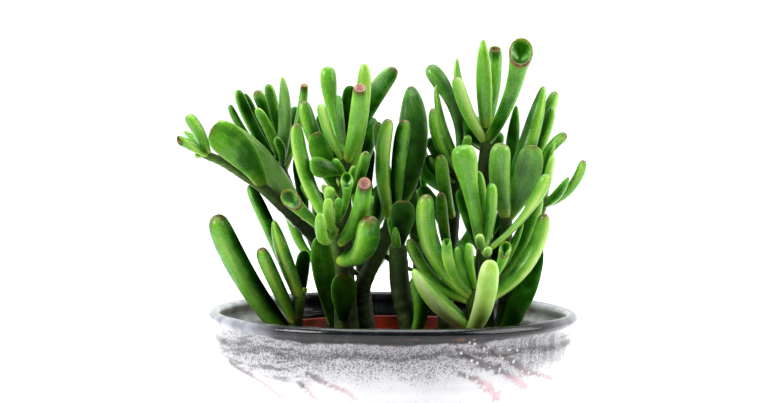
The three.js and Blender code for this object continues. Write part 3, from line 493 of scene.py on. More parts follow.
@dataclass(frozen=True)
class BackGrowth:
    """The rule of the stems at the back: leaves in opposite pairs, each pair turned from the last."""

    forms: tuple[Form, ...] = (Form.FINGER, Form.SPOON, Form.TRUMPET, Form.FINGER, Form.FINGER, Form.CLUB,
                               Form.POINTED, Form.TRUMPET)
    tints: tuple[Tint, ...] = (Tint.PLAIN, Tint.DEEP, Tint.TIPPED, Tint.PLAIN, Tint.BRIGHT, Tint.PLAIN,
                               Tint.DARK_TIPPED, Tint.TIPPED)
    first_share: float = 0.5
    last_share: float = 0.98
    longest: float = 38
    shortest: float = 24
    widest: float = 7.2
    slimmest: float = 4.8
    low_lean: float = 48
    high_lean: float = 16
    pair_turn: float = 82
    wander: float = 24
    least_length: float = 0.86
    length_scatter: float = 0.28
    bow: float = 0.14

    def stem(self, name: str, line: tuple[Point, ...], thick: Span, turn: float) -> Stem:
        """Grows a stem's leaves.

        Args:
            name: the stem's node name.
            line: its points from the soil up.
            thick: its thickness at both ends.
            turn: the heading of its first leaf, in degrees.

        Returns:
            The stem with its leaves.
        """
        along = StemLine(line)
        rows = []
        for index, form in enumerate(self.forms):
            pair = index // 2
            rise = pair / (len(self.forms) / 2 - 1)
            share = mix(self.first_share, self.last_share, rise)
            heading = math.radians(turn + pair * self.pair_turn + (index % 2) * 180
                                   + self.wander * (spread(index + turn) - 0.5))
            lean = math.radians(mix(self.low_lean, self.high_lean, rise))
            own = self.least_length + self.length_scatter * spread(index * 3 + turn)
            length = mix(self.longest, self.shortest, rise) * own
            root = along.point(share)
            reach = math.sin(lean) * length
            tip = (root[0] + reach * math.cos(heading), root[1] + reach * math.sin(heading),
                   root[2] - POTS.rim_height + math.cos(lean) * length)
            width = mix(self.widest, self.slimmest, rise)
            rows.append(Row(form, share, tip, width, self.bow, self.tints[index]))
        return Stem(name, line, thick, tuple(rows))


@dataclass
class Leaf:
    """One leaf on its stem: a quadratic curve from its root through a bend to its tip."""

    row: Row
    stem: int
    root: np.ndarray
    bend: np.ndarray
    tip: np.ndarray
    face: np.ndarray
    length: float

    @classmethod
    def lay(cls, row: Row, stem: int, line: StemLine) -> "Leaf":
        """Lays a leaf on its stem.

        Args:
            row: the leaf's row in the table.
            stem: its stem's number.
            line: its stem's line.

        Returns:
            The leaf before it settles.
        """
        root = line.point(row.share)
        axis = line.tangent(row.share)
        tip = np.array([row.tip[0], row.tip[1], POTS.rim_height + row.tip[2]], float)
        chord = tip - root
        length = float(np.linalg.norm(chord))
        chord = chord / length
        rise = float(chord @ axis)
        outward = chord - axis * rise
        outward /= np.linalg.norm(outward)
        underside = outward * rise - axis * math.sqrt(max(0.0, 1 - rise * rise))
        bend = (root + tip) / 2 + underside * 2 * row.bow * length
        face = -underside if row.facing is Facing.STEM else np.array(row.facing.value)
        return cls(row, stem, root, bend, tip, face, length)

    def frame_at(self, share: float) -> tuple[np.ndarray, np.ndarray, np.ndarray, np.ndarray]:
        """The leaf's centre, its direction, its upper face's normal and its side at a share of its length."""
        centre = (1 - share) ** 2 * self.root + 2 * share * (1 - share) * self.bend + share ** 2 * self.tip
        along = (self.bend - self.root) * (1 - share) + (self.tip - self.bend) * share
        along /= np.linalg.norm(along)
        normal = self.face - along * float(self.face @ along)
        normal /= np.linalg.norm(normal)
        return centre, along, normal, np.cross(along, normal)


@dataclass(frozen=True)
class Settling:
    """The figures by which leaves bend clear of each other, of the stems, of both rims and of the soil.

    Attributes:
        gain: how much of each push is followed.
        home_pull: how much of the way back to its laid place a leaf goes in each of the first home_rounds.
        sideways: how much of a push stays sideways and upright, next to the front or back.
        lengthways: how far a leaf reaches along itself, as a share of its half thickness.
        least_facing: the least share of a turned push that counts.
        root_reach: how near its root a leaf may touch its own stem.
        neighbours: how near two leaves' middles have to be, as a share of both lengths.
        slack: how much further than they reach samples are listed, every few rounds.
    """

    rounds: int = 220
    samples: int = 9
    clearance: float = 0.9
    gain: float = 1.1
    home_pull: float = 0.02
    home_rounds: int = 110
    sideways: float = 0.5
    lengthways: float = 0.5
    least_facing: float = 0.01
    least_weight: float = 0.5
    stem_step: float = 2.5
    root_share: float = 0.3
    root_reach: float = 8
    neighbours: float = 0.7
    refresh: int = 10
    slack: float = 12


class LeafCrowd:
    """All the plant's leaves as arrays, with one row for each sample down each leaf."""

    def __init__(self, leaves: list[Leaf], stems: Sequence[Stem], rules: Settling) -> None:
        """Samples the leaves as laid and the stems.

        Args:
            leaves: the leaves as laid.
            stems: the stems that they stand on.
            rules: how they settle.
        """
        self.leaves, self.rules, self.count = leaves, rules, len(leaves)
        self.share = (np.arange(rules.samples) + 1) / (rules.samples + 0.5)
        self.bend_share, self.tip_share = 2 * self.share * (1 - self.share), self.share ** 2
        self.root, self.bend, self.tip = (np.array([getattr(leaf, name) for leaf in leaves])
                                          for name in ("root", "bend", "tip"))
        self.face = np.array([leaf.face for leaf in leaves])[:, None, :]
        self.length = np.array([leaf.length for leaf in leaves])
        half = np.array([leaf.row.width / 2 for leaf in leaves])[:, None]
        pressed = np.array([SHAPES[leaf.row.form].thickness for leaf in leaves])[:, None]
        radii = np.array([np.interp(self.share, *zip(*SHAPES[leaf.row.form].body)) for leaf in leaves])
        self.wide, self.thick = (radii * half).ravel(), (radii * half * pressed).ravel()
        self.owner = np.repeat(np.arange(self.count), rules.samples)
        self.at_root = np.tile(self.share < rules.root_share, self.count)
        self._mark_free(np.array([leaf.stem for leaf in leaves]), stems)

    def _mark_free(self, stem_of: np.ndarray, stems: Sequence[Stem]) -> None:
        """Marks which samples may push each other: not a leaf's root and what it grows from.

        Args:
            stem_of: the number of each leaf's stem.
            stems: the stems.
        """
        posts, radii, numbers = [], [], []
        for number, stem in enumerate(stems):
            line = StemLine(stem.line)
            count = math.ceil(line.length() / self.rules.stem_step)
            for index in range(count + 1):
                posts.append(line.point(index / count))
                radii.append(mix(*stem.thick, index / count) / 2)
                numbers.append(number)
        self.posts, self.post_radius = np.array(posts), np.array(radii)
        same = stem_of[self.owner]
        joined = (same[:, None] == same[None]) & (self.at_root[:, None] | self.at_root[None])
        self.pair_free = (self.owner[:, None] < self.owner[None]) & ~joined
        close = np.linalg.norm(self.posts[None] - self.root[:, None], axis=2) < self.rules.root_reach
        own = same[:, None] == np.array(numbers)[None]
        self.post_free = ~(own & (self.at_root[:, None] | close[self.owner]))

    def _place_samples(self) -> None:
        """Works out each sample's centre and the directions of its leaf there."""
        share = self.share[None, :, None]
        centre = (1 - share) ** 2 * self.root[:, None] + 2 * share * (1 - share) * self.bend[:, None] \
            + share ** 2 * self.tip[:, None]
        along = (1 - share) * (self.bend - self.root)[:, None] + share * (self.tip - self.bend)[:, None]
        along /= np.linalg.norm(along, axis=2, keepdims=True)
        normal = self.face - along * np.sum(self.face * along, axis=2, keepdims=True)
        normal /= np.linalg.norm(normal, axis=2, keepdims=True)
        self.middle = centre[:, (self.rules.samples - 1) // 2]
        self.spot, self.along, self.normal = (values.reshape(-1, 3) for values in (centre, along, normal))
        self.side = np.cross(self.along, self.normal)
        self.sum_bend, self.sum_tip = np.zeros((self.count, 3)), np.zeros((self.count, 3))
        self.weight = np.zeros(self.count)

    def _reach(self, index: np.ndarray, direction: np.ndarray) -> np.ndarray:
        """How far the leaves' bodies reach from these samples in these directions."""
        across = self.wide[index] * np.sum(direction * self.side[index], axis=1)
        through = self.thick[index] * np.sum(direction * self.normal[index], axis=1)
        lengthways = self.rules.lengthways * self.thick[index] * np.sum(direction * self.along[index], axis=1)
        return np.sqrt(across ** 2 + through ** 2 + lengthways ** 2)

    def _escape(self, direction: np.ndarray, depth: np.ndarray) -> np.ndarray:
        """Turns pushes to the front or back, which keeps the plant's outline seen from the front."""
        escape = direction * np.array([self.rules.sideways, 1.0, self.rules.sideways])
        escape /= np.linalg.norm(escape, axis=1, keepdims=True)
        facing = np.maximum(np.sum(escape * direction, axis=1), self.rules.least_facing)
        return escape * np.minimum(depth / facing, 2 * depth)[:, None]

    def _push(self, index: np.ndarray, move: np.ndarray) -> None:
        """Adds moves at these samples to what shifts each leaf's bend and tip."""
        step, leaf = index % self.rules.samples, self.owner[index]
        np.add.at(self.sum_bend, leaf, move * self.bend_share[step][:, None])
        np.add.at(self.sum_tip, leaf, move * self.tip_share[step][:, None])
        np.add.at(self.weight, leaf, self.bend_share[step] + self.tip_share[step])

    def _find_near(self) -> None:
        """Lists the samples that could meet before the list is made again."""
        limit = self.wide[:, None] + self.wide[None] + self.rules.clearance
        square = np.sum(self.spot ** 2, axis=1)
        distance_sq = square[:, None] + square[None] - 2 * self.spot @ self.spot.T
        self.pairs = np.nonzero(self.pair_free & (distance_sq < (limit + self.rules.slack) ** 2))
        limit = self.wide[:, None] + self.post_radius[None] + self.rules.clearance
        distance_sq = square[:, None] + np.sum(self.posts ** 2, axis=1)[None] - 2 * self.spot @ self.posts.T
        self.post_pairs = np.nonzero(self.post_free & (distance_sq < (limit + self.rules.slack) ** 2))

    def _push_leaves(self) -> None:
        """Pushes leaves off each other."""
        first, second = self.pairs
        gap = self.spot[first] - self.spot[second]
        distance = np.linalg.norm(gap, axis=1)
        own, other = self.owner[first], self.owner[second]
        apart = np.linalg.norm(self.middle[own] - self.middle[other], axis=1)
        near = (distance <= self.wide[first] + self.wide[second] + self.rules.clearance) \
            & (apart <= (self.length[own] + self.length[other]) * self.rules.neighbours)
        first, second, distance = first[near], second[near], distance[near]
        direction = gap[near] / distance[:, None]
        depth = self._reach(first, direction) + self._reach(second, direction) + self.rules.clearance - distance
        hit = depth > 0
        move = self._escape(direction[hit], depth[hit])
        self._push(first[hit], move * 0.5)
        self._push(second[hit], move * -0.5)

    def _push_off(self, index: np.ndarray, gap: np.ndarray, radius: np.ndarray, turned: bool) -> None:
        """Pushes samples off round bodies.

        Args:
            index: the samples.
            gap: from each body's middle to its sample.
            radius: each body's radius.
            turned: whether leaves give way mostly to the front or back.
        """
        distance = np.linalg.norm(gap, axis=1)
        near = distance <= self.wide[index] + radius + self.rules.clearance
        index, distance, radius = index[near], distance[near], radius[near]
        direction = gap[near] / distance[:, None]
        depth = self._reach(index, direction) + radius + self.rules.clearance - distance
        hit = depth > 0
        move = self._escape(direction, depth) if turned else direction * depth[:, None]
        self._push(index[hit], move[hit])

    def _push_off_pots(self) -> None:
        """Keeps leaves inside each wall below its rim, off the rim above it, and off the soil."""
        every = np.arange(len(self.spot))
        for radius, height, tube in ((POTS.rim_radius, POTS.rim_height, POTS.rim_tube),
                                     (POTS.lip_radius, POTS.lip_height, POTS.lip_tube)):
            nearest = self.spot * (radius / np.hypot(self.spot[:, 0], self.spot[:, 1]))[:, None]
            nearest[:, 2] = np.minimum(self.spot[:, 2], height)
            self._push_off(every, self.spot - nearest, np.full(len(every), tube), False)
        up = np.tile([0.0, 0.0, 1.0], (len(every), 1))
        floor = POTS.soil_height + POTS.soil_bump + self.rules.clearance
        depth = floor + self._reach(every, up) - self.spot[:, 2]
        sunk = (depth > 0) & ~self.at_root
        self._push(every[sunk], up[sunk] * depth[sunk][:, None])

    def settle(self) -> None:
        """Moves every leaf's bend and tip, round by round, until the leaves stand clear."""
        home_bend, home_tip = self.bend.copy(), self.tip.copy()
        for turn in range(self.rules.rounds):
            self._place_samples()
            if turn % self.rules.refresh == 0:
                self._find_near()
            self._push_leaves()
            index, post = self.post_pairs
            self._push_off(index, self.spot[index] - self.posts[post], self.post_radius[post], True)
            self._push_off_pots()
            scale = (self.rules.gain / np.maximum(self.weight, self.rules.least_weight))[:, None]
            pull = self.rules.home_pull if turn < self.rules.home_rounds else 0.0
            self.bend += self.sum_bend * scale
            self.tip += self.sum_tip * scale
            self.bend += (home_bend - self.bend) * pull
            self.tip += (home_tip - self.tip) * pull
        for leaf, bend, tip in zip(self.leaves, self.bend, self.tip):
            leaf.bend, leaf.tip = bend, tip


class Shade:
    """How much the leaves hide a place from daylight, worked out from discs laid down every leaf.

    It is painted into the leaves' and stems' colours as shade.
    """

    def __init__(self, leaves: Sequence[Leaf], discs: int = 9, nearest: float = 2.0) -> None:
        """Lays the discs.

        Args:
            leaves: the settled leaves.
            discs: how many stand in for each leaf.
            nearest: the least distance that counts, in millimetres.
        """
        self.leaves, self.discs, self.nearest = leaves, discs, nearest
        shares = [(index + 0.5) / discs for index in range(discs)]
        self.spots = np.array([leaf.frame_at(share)[0] for leaf in leaves for share in shares])
        self.areas = np.array([self._area(leaf, share) for leaf in leaves for share in shares])

    def _area(self, leaf: Leaf, share: float) -> float:
        """The area that the disc at a share of a leaf's length stands for."""
        breadth = np.interp(share, *zip(*SHAPES[leaf.row.form].body))
        return leaf.row.width * leaf.length / self.discs * breadth

    def at(self, spots: np.ndarray, normals: np.ndarray, own: Leaf | None = None) -> np.ndarray:
        """How hidden places are, from 0 to 1.

        Args:
            spots: the places, one in a row.
            normals: which way the surface faces at each.
            own: the leaf that they lie on, which doesn't count.

        Returns:
            One value for each place.
        """
        gap = self.spots[None] - spots[:, None]
        away = np.maximum(np.linalg.norm(gap, axis=2), self.nearest)
        facing = np.maximum(np.sum(gap * normals[:, None], axis=2) / away, 0.0)
        hidden = facing * self.areas[None] / (math.pi * away ** 2)
        others = np.repeat([leaf is not own for leaf in self.leaves], self.discs)
        return 1 - np.exp(-np.sum(hidden[:, others], axis=1))


# ---- finishes


class Bench:
    """Lays out and links the nodes of one material."""

    def __init__(self, name: str) -> None:
        """Starts a material with a Principled shader."""
        self.material = bpy.data.materials.new(name)
        self.material.use_nodes = True
        self.tree = self.material.node_tree
        self.tree.nodes.clear()
        self.shader = self.add("ShaderNodeBsdfPrincipled")
        output = self.add("ShaderNodeOutputMaterial")
        self.tree.links.new(self.shader.outputs[0], output.inputs["Surface"])

    def add(self, kind: str, inputs: dict[str | int, object] | None = None, **settings: object) -> bpy.types.Node:
        """Adds a node.

        Args:
            kind: the node's type.
            inputs: what feeds its sockets, by name or number.
            settings: what its options are set to.

        Returns:
            The node.
        """
        node = self.tree.nodes.new(kind)
        for name, value in settings.items():
            setattr(node, name, value)
        for socket, value in (inputs or {}).items():
            self.feed(node.inputs[socket], value)
        return node

    def feed(self, socket: Socket, value: object) -> None:
        """Links an output to a socket, or sets the socket to a plain value."""
        if isinstance(value, Socket):
            self.tree.links.new(value, socket)
        else:
            socket.default_value = value

    def place(self) -> Socket:
        """The point on the piece, in metres."""
        return self.add("ShaderNodeTexCoord").outputs["Object"]

    def attribute(self, name: str, output: str = "Color") -> Socket:
        """One of the piece's own vertex attributes."""
        return self.add("ShaderNodeAttribute", attribute_name=name).outputs[output]

    def split(self, colour: Socket) -> tuple[Socket, ...]:
        """The three channels of a colour."""
        return tuple(self.add("ShaderNodeSeparateColor", {0: colour}).outputs)

    def axes(self, vector: Socket) -> tuple[Socket, ...]:
        """The X, Y and Z of a vector."""
        return tuple(self.add("ShaderNodeSeparateXYZ", {0: vector}).outputs)

    def stretch(self, vector: Socket, scale: Point) -> Socket:
        """Scales a vector before a texture reads it."""
        return self.add("ShaderNodeMapping", {"Vector": vector, "Scale": scale}).outputs[0]

    def noise(self, vector: Socket, scale: float, detail: float = 3.0, roughness: float = 0.5) -> Socket:
        """Soft noise of a scale given per metre."""
        inputs = {"Vector": vector, "Scale": scale, "Detail": detail, "Roughness": roughness}
        return self.add("ShaderNodeTexNoise", inputs).outputs[0]

    def cells(self, vector: Socket, scale: float, feature: str = "F1") -> Socket:
        """The distance to the nearest of scattered points, in cells of a scale given per metre."""
        node = self.add("ShaderNodeTexVoronoi", {"Vector": vector, "Scale": scale}, feature=feature)
        return node.outputs["Distance"]

    def math(self, operation: str, first: object, second: object = 0.0) -> Socket:
        """A sum, product or the like of two values."""
        return self.add("ShaderNodeMath", {0: first, 1: second}, operation=operation).outputs[0]

    def times(self, first: object, second: object) -> Socket:
        """A product of two values."""
        return self.math("MULTIPLY", first, second)

    def wavering(self, value: Socket, waves: Socket, width: float) -> Socket:
        """Moves a value up and down with waves that run from 0 to 1, over a width in all."""
        return self.math("ADD", value, self.times(self.math("SUBTRACT", waves, 0.5), width))

    def rise(self, value: Socket, low: float, high: float, start: float = 0.0, end: float = 1.0) -> Socket:
        """Goes smoothly from start to end as a value goes from low to high."""
        inputs = {"Value": value, "From Min": low, "From Max": high, "To Min": start, "To Max": end}
        return self.add("ShaderNodeMapRange", inputs, interpolation_type="SMOOTHSTEP").outputs[0]

    def blend(self, share: object, first: object, second: object) -> Socket:
        """Mixes two colours, from the first at 0 to the second at 1."""
        return self.add("ShaderNodeMix", {"Factor": share, 6: first, 7: second}, data_type="RGBA").outputs[2]

    def wash(self, body: object, colour: object, share: object, *shares: object) -> Socket:
        """Lays a colour over a body's colours, as strongly as the product of these shares."""
        for other in shares:
            share = self.times(share, other)
        return self.blend(share, body, colour)

    def relief(self, height: Socket, depth: float, strength: float = 1.0, under: Socket | None = None) -> Socket:
        """Turns a height into bumps.

        Args:
            height: the height, from 0 to 1.
            depth: the bumps' depth in metres.
            strength: how much of it shows.
            under: the bumps that these lie on, if any.

        Returns:
            The bent normal.
        """
        inputs = {"Distance": depth, "Strength": strength, "Height": height}
        if under is not None:
            inputs["Normal"] = under
        return self.add("ShaderNodeBump", inputs).outputs[0]

    def finish(self, **sockets: object) -> Finish:
        """Feeds the shader's sockets, named with _ for a space, and returns the material."""
        for name, value in sockets.items():
            self.feed(self.shader.inputs[name.replace("_", " ")], value)
        return self.material


@dataclass(frozen=True)
class WaxyLeaf:
    """Smooth waxy green skin, yellower at the root, with a red-brown tip or rim, and with painted shade where other
    leaves hide it, inside open mouths too, and a painted rim light on its sides.

    Each tone span runs from where its green starts to where it is full. Tone is as in Tint.
    """

    # The darkest green, reached mostly where the painted shade is deepest.
    deep_shade_green: Colour = paint("081a02")
    deep: Colour = paint("1e5806")
    fresh: Colour = paint("52951a")
    bright: Colour = paint("96c046")
    root: Colour = paint("b0c840")
    blush: Colour = paint("6a2c22")
    scorch: Colour = paint("4a2014")
    rose: Colour = paint("aa7a70")
    russet: Colour = paint("2a1a0c")
    wax: Colour = paint("8fa67c")
    fleck: Colour = paint("b4d470")
    pale: Colour = paint("c4d99a")
    deep_tone: Span = (0.0, -0.9)
    deep_shade_tone: Span = (-0.8, -1.7)
    bright_tone: Span = (0.0, 1.2)
    pale_tone: Span = (0.85, 1.8)
    lit_tone: Span = (-1.3, -0.1)
    root_way: Span = (0.22, 0.04)
    fleck_strength: float = 0.36
    fleck_scale: float = 1250
    grain_scale: float = 1300
    grain_depth: float = 0.00012
    dent_scale: float = 260
    dent_depth: float = 0.0005
    depth_of_light: Point = (0.0026, 0.004, 0.0006)

    def material(self) -> Finish:
        """The skin of every leaf, which reads each leaf's own tint."""
        bench = Bench("waxy_leaf")
        place = bench.place()
        way = bench.attribute(WAY_LAYER, "Vector")
        along, tone, blush = bench.split(bench.attribute(TINT_LAYER))
        bloom = bench.attribute(TINT_LAYER, "Alpha")
        tone = bench.math("ADD", tone, bench.rise(bench.noise(place, 110, detail=2), 0.3, 0.7, -0.25, 0.25))
        # lit follows the tone and its painted shade; the marks, specular, coat and sheen below fade with it.
        lit = bench.rise(tone, *self.lit_tone)
        body = self._marked(bench, self._green(bench, tone), way, along, lit)
        patches = bench.rise(bench.noise(place, 160, detail=4), 0.3, 0.62, 0.35, 1.0)
        body = bench.wash(body, self.wax, bloom, patches)
        body = bench.wash(body, self.russet, bench.rise(bloom, -0.05, -1.0))
        body = self._blushed(bench, body, way, blush)
        grain = bench.relief(bench.cells(way, self.grain_scale), self.grain_depth, 0.6)
        skin = bench.relief(bench.noise(way, self.dent_scale, detail=2), self.dent_depth, 0.35, grain)
        rough = bench.rise(bench.noise(place, 300), 0.3, 0.7, 0.26, 0.36)
        return bench.finish(Base_Color=body, Roughness=rough, Normal=skin, IOR=1.42,
                            Specular_IOR_Level=bench.times(lit, 0.34), Coat_Weight=bench.times(lit, 0.18),
                            Coat_Roughness=0.14, Sheen_Weight=bench.times(lit, 0.22), Sheen_Roughness=0.4,
                            Sheen_Tint=self.pale, Subsurface_Weight=0.3, Subsurface_Radius=self.depth_of_light,
                            Subsurface_Scale=1.0)

    def _green(self, bench: Bench, tone: Socket) -> Socket:
        """The greens from nearly black to nearly white, by tone."""
        body = bench.wash(self.fresh, self.deep, bench.rise(tone, *self.deep_tone))
        body = bench.wash(body, self.deep_shade_green, bench.rise(tone, *self.deep_shade_tone))
        body = bench.wash(body, self.bright, bench.rise(tone, *self.bright_tone))
        return bench.wash(body, self.pale, bench.rise(tone, *self.pale_tone, 0.0, 0.8))

    def _marked(self, bench: Bench, body: Socket, way: Socket, along: Socket, lit: Socket) -> Socket:
        """Adds what shows on the lit leaves only: lighter streaks, a yellow root and small flecks.

        Args:
            bench: where the nodes are laid out.
            body: the colours so far.
            way: the point on the unbent leaf.
            along: how far down the leaf that point is, from 0 to 1.
            lit: how light the leaf is, from 0 to 1.

        Returns:
            The colours with these marks.
        """
        streaks = bench.noise(bench.stretch(way, (1.0, 1.0, 0.16)), 900, detail=2)
        flecks = bench.rise(bench.cells(way, self.fleck_scale), 0.34, 0.14)
        body = bench.wash(body, self.bright, bench.rise(streaks, 0.45, 0.75, 0.0, 0.2), lit)
        body = bench.wash(body, self.root, bench.rise(along, *self.root_way, 0.0, 0.55), lit)
        return bench.wash(body, self.fleck, flecks, self.fleck_strength, lit)

    def _blushed(self, bench: Bench, body: Socket, way: Socket, blush: Socket) -> Socket:
        """Adds the red-brown of tips and rims, which breaks up at its edge and turns pink.

        Args:
            bench: where the nodes are laid out.
            body: the colours so far.
            way: the point on the unbent leaf.
            blush: how red-brown the place is. It turns pink above 1.

        Returns:
            The colours with the blush.
        """
        broken = bench.rise(bench.noise(way, 700, detail=3), 0.25, 0.6, 0.35, 1.0)
        ruddy = bench.blend(bench.rise(bench.noise(way, 500), 0.4, 0.62), self.blush, self.scorch)
        petal = bench.rise(bench.noise(way, 800, detail=2), 0.3, 0.55, 0.55, 1.0)
        body = bench.wash(body, ruddy, bench.rise(blush, 0.0, 1.0), broken)
        return bench.wash(body, self.rose, bench.rise(blush, 1.0, 1.5), petal)


@dataclass(frozen=True)
class StemBark:
    """Dark green-brown bark with ring scars, fresher green towards the tip, and painted shade where the leaves hide
    it.
    """

    old: Colour = paint("1d330f")
    young: Colour = paint("517a1a")
    scar: Colour = paint("5d6c38")
    split: Colour = paint("111a07")
    shaded: Colour = paint("0d1c05")

    def material(self) -> Finish:
        """The bark of every stem."""
        bench = Bench("stem_bark")
        way = bench.attribute(WAY_LAYER, "Vector")
        along, hidden, ring = bench.split(bench.attribute(TINT_LAYER))
        body = bench.wash(self.old, self.young, bench.rise(along, 0.3, 1.0))
        body = bench.wash(body, self.scar, bench.rise(bench.noise(way, 420, detail=4), 0.42, 0.62, 0.0, 0.3))
        body = bench.wash(body, self.scar, ring, 0.5)
        cracks = bench.cells(bench.stretch(way, (1.0, 1.0, 0.35)), 620, "DISTANCE_TO_EDGE")
        body = bench.wash(body, self.split, bench.rise(cracks, 0.08, 0.0), 0.4)
        # Painted shade: the bark darkens where the leaves hide it.
        body = bench.wash(body, self.shaded, bench.rise(hidden, 0.2, 0.75, 0.0, 0.8))
        bumps = bench.relief(bench.noise(way, 520, detail=4), 0.0005, 0.6)
        return bench.finish(Base_Color=body, Roughness=0.5, Normal=bumps, Specular_IOR_Level=0.2)


@dataclass(frozen=True)
class GlazePatterns:
    """The places and patterns on the bowl that its glaze is laid by.

    Attributes:
        bench: where their nodes are laid out.
        place: the point on the bowl.
        across: its X.
        height: its Z.
        clouds: broad soft noise.
        flow: noise drawn out down the wall.
        wavy: the height, wavering with the clouds.
        grit: the fine noise of the specks.
    """

    bench: Bench
    place: Socket
    across: Socket
    height: Socket
    clouds: Socket
    flow: Socket
    wavy: Socket
    grit: Socket

    @classmethod
    def on(cls, bench: Bench) -> "GlazePatterns":
        """Lays the patterns out on a bench."""
        place = bench.place()
        across, _, height = bench.axes(place)
        clouds = bench.noise(place, 60, detail=5, roughness=0.6)
        flow = bench.noise(bench.stretch(place, (1.0, 1.0, 0.45)), 140, detail=4)
        fine = bench.noise(place, 2500, detail=2, roughness=0.7)
        coarse = bench.noise(place, 1000, detail=3, roughness=0.65)
        grit = bench.math("ADD", bench.times(fine, 0.6), bench.times(coarse, 0.4))
        return cls(bench, place, across, height, clouds, flow, bench.wavering(height, clouds, 0.014), grit)

    def drawn(self, scale: float, upright: float, detail: float = 4.0) -> Socket:
        """Noise that is drawn out down the wall where upright is below 1, and round it above 1."""
        return self.bench.noise(self.bench.stretch(self.place, (1.0, 1.0, upright)), scale, detail)


@dataclass(frozen=True)
class SpeckledGlaze:
    """A thick glossy glaze: charcoal on the rim and inside, a grey speckled band below, then white to the foot. The
    inside flanks carry a painted reflection and the rim's ends a painted glint.

    Each span runs from where its colour starts to where it is full.
    """

    charcoal: Colour = paint("0e0f11")
    slate: Colour = paint("1d2126")
    rust: Colour = paint("5f3a24")
    white: Colour = paint("d8d8db")
    mist: Colour = paint("9b989d")
    speck: Colour = paint("46464c")
    pink: Colour = paint("c99aa2")
    plum: Colour = paint("4c3f42")
    # Painted reflection: the pale of the white walls, laid on the inside flanks.
    painted_reflection: Colour = paint("e2e6ee")
    # Painted highlight: the pale glint laid on the rim's left and right ends.
    painted_glint: Colour = paint("a4a6b0")
    rim_foot: float = 0.0900
    rim_edge: float = 0.0006
    rim_drip: float = 0.0018
    drip_across: Span = (0.03, 0.06)
    band_foot: float = 0.066
    ring_height: float = 0.0856
    ring_reach: float = 0.0022
    rust_height: Span = (0.0945, 0.092)
    brushed_across: Span = (0.036, 0.054)
    brushed_height: Span = (0.074, 0.086)
    dragged_across: Span = (-0.02, -0.045)
    dragged_height: Span = (0.072, 0.08)
    # Where the painted glint lies on the rim's ends.
    left_glint: Span = (-0.042, -0.062)
    right_glint: Span = (0.056, 0.072)
    # Where the painted reflection lies on the inside flanks, by distance to the side.
    reflection_flank: Span = (0.034, 0.056)

    def material(self) -> Finish:
        """The glaze on the whole bowl, which reads its runs from the bowl's own attribute."""
        bench = Bench("speckled_glaze")
        on_bowl = GlazePatterns.on(bench)
        run, froth, inside = bench.split(bench.attribute(GLAZE_LAYER))
        dark = bench.blend(bench.rise(on_bowl.flow, 0.45, 0.72), self.charcoal, self.slate)
        sides = bench.math("ABSOLUTE", on_bowl.across)
        edge = bench.wavering(on_bowl.height, on_bowl.clouds, 0.004)
        edge = bench.math("SUBTRACT", edge, bench.rise(sides, *self.drip_across, 0.0, self.rim_drip))
        edge = bench.rise(edge, self.rim_foot - self.rim_edge, self.rim_foot + self.rim_edge)
        body = bench.blend(edge, self._wall(on_bowl), self._rim(on_bowl, dark))
        # Painted reflection: the inside flanks at left and right are washed pale as if mirroring the white walls.
        flow = bench.rise(on_bowl.flow, 0.3, 0.6, 0.6, 1.0)
        body = bench.blend(inside, body, bench.wash(dark, self.painted_reflection, bench.rise(sides, *self.reflection_flank), flow))
        trail = self._trail(on_bowl, froth, bench.attribute(GLAZE_LAYER, "Alpha"))
        body = bench.wash(body, trail, run, bench.rise(on_bowl.grit, 0.4, 0.55, 0.95, 0.55))
        pits = bench.relief(bench.cells(on_bowl.place, 700), 0.0002, 0.2)
        skin = bench.relief(on_bowl.flow, 0.0008, 0.3, pits)
        rough = bench.rise(on_bowl.grit, 0.4, 0.6, 0.1, 0.2)
        return bench.finish(Base_Color=body, Roughness=rough, Normal=skin, IOR=1.5, Specular_IOR_Level=0.28,
                            Coat_Weight=0.1, Coat_Roughness=0.05)

    def _wall(self, on_bowl: GlazePatterns) -> Socket:
        """The glaze of the outside.

        Args:
            on_bowl: the patterns that it is laid by.

        Returns:
            White with specks, which crowd together in the grey band below the rim and on its ring.
        """
        bench = on_bowl.bench
        band = bench.rise(on_bowl.wavy, self.band_foot, self.rim_foot)
        body = bench.wash(self.white, self.mist, band, 0.85)
        off_ring = bench.math("ABSOLUTE", bench.math("SUBTRACT", on_bowl.wavy, self.ring_height))
        ring = bench.rise(off_ring, self.ring_reach, 0.0, 0.0, 0.07)
        level = bench.math("SUBTRACT", bench.rise(band, 0.0, 0.75, 0.63, 0.475), ring)
        specks = bench.rise(bench.math("SUBTRACT", on_bowl.grit, level), -0.02, 0.1, 0.0, 0.85)
        body = bench.wash(body, self.speck, specks)
        brushed = bench.rise(on_bowl.drawn(320, 0.12, 3), 0.4, 0.6, 0.15, 0.75)
        body = bench.wash(body, self.speck, brushed, bench.rise(on_bowl.across, *self.brushed_across),
                          bench.rise(on_bowl.wavy, *self.brushed_height))
        dragged = bench.rise(on_bowl.drawn(110, 5.0), 0.5, 0.6, 0.0, 0.7)
        return bench.wash(body, self.speck, dragged, bench.rise(on_bowl.across, *self.dragged_across),
                          bench.rise(on_bowl.wavy, *self.dragged_height))

    def _rim(self, on_bowl: GlazePatterns, dark: Socket) -> Socket:
        """The glaze of the rim.

        Args:
            on_bowl: the patterns that it is laid by.
            dark: the glaze's own dark colour.

        Returns:
            That colour, rusty where it is worn, with a painted glint washed over both sides.
        """
        bench = on_bowl.bench
        rusty = bench.rise(on_bowl.drawn(120, 3.5), 0.56, 0.7, 0.0, 0.7)
        body = bench.wash(dark, self.rust, rusty, bench.rise(on_bowl.height, *self.rust_height))
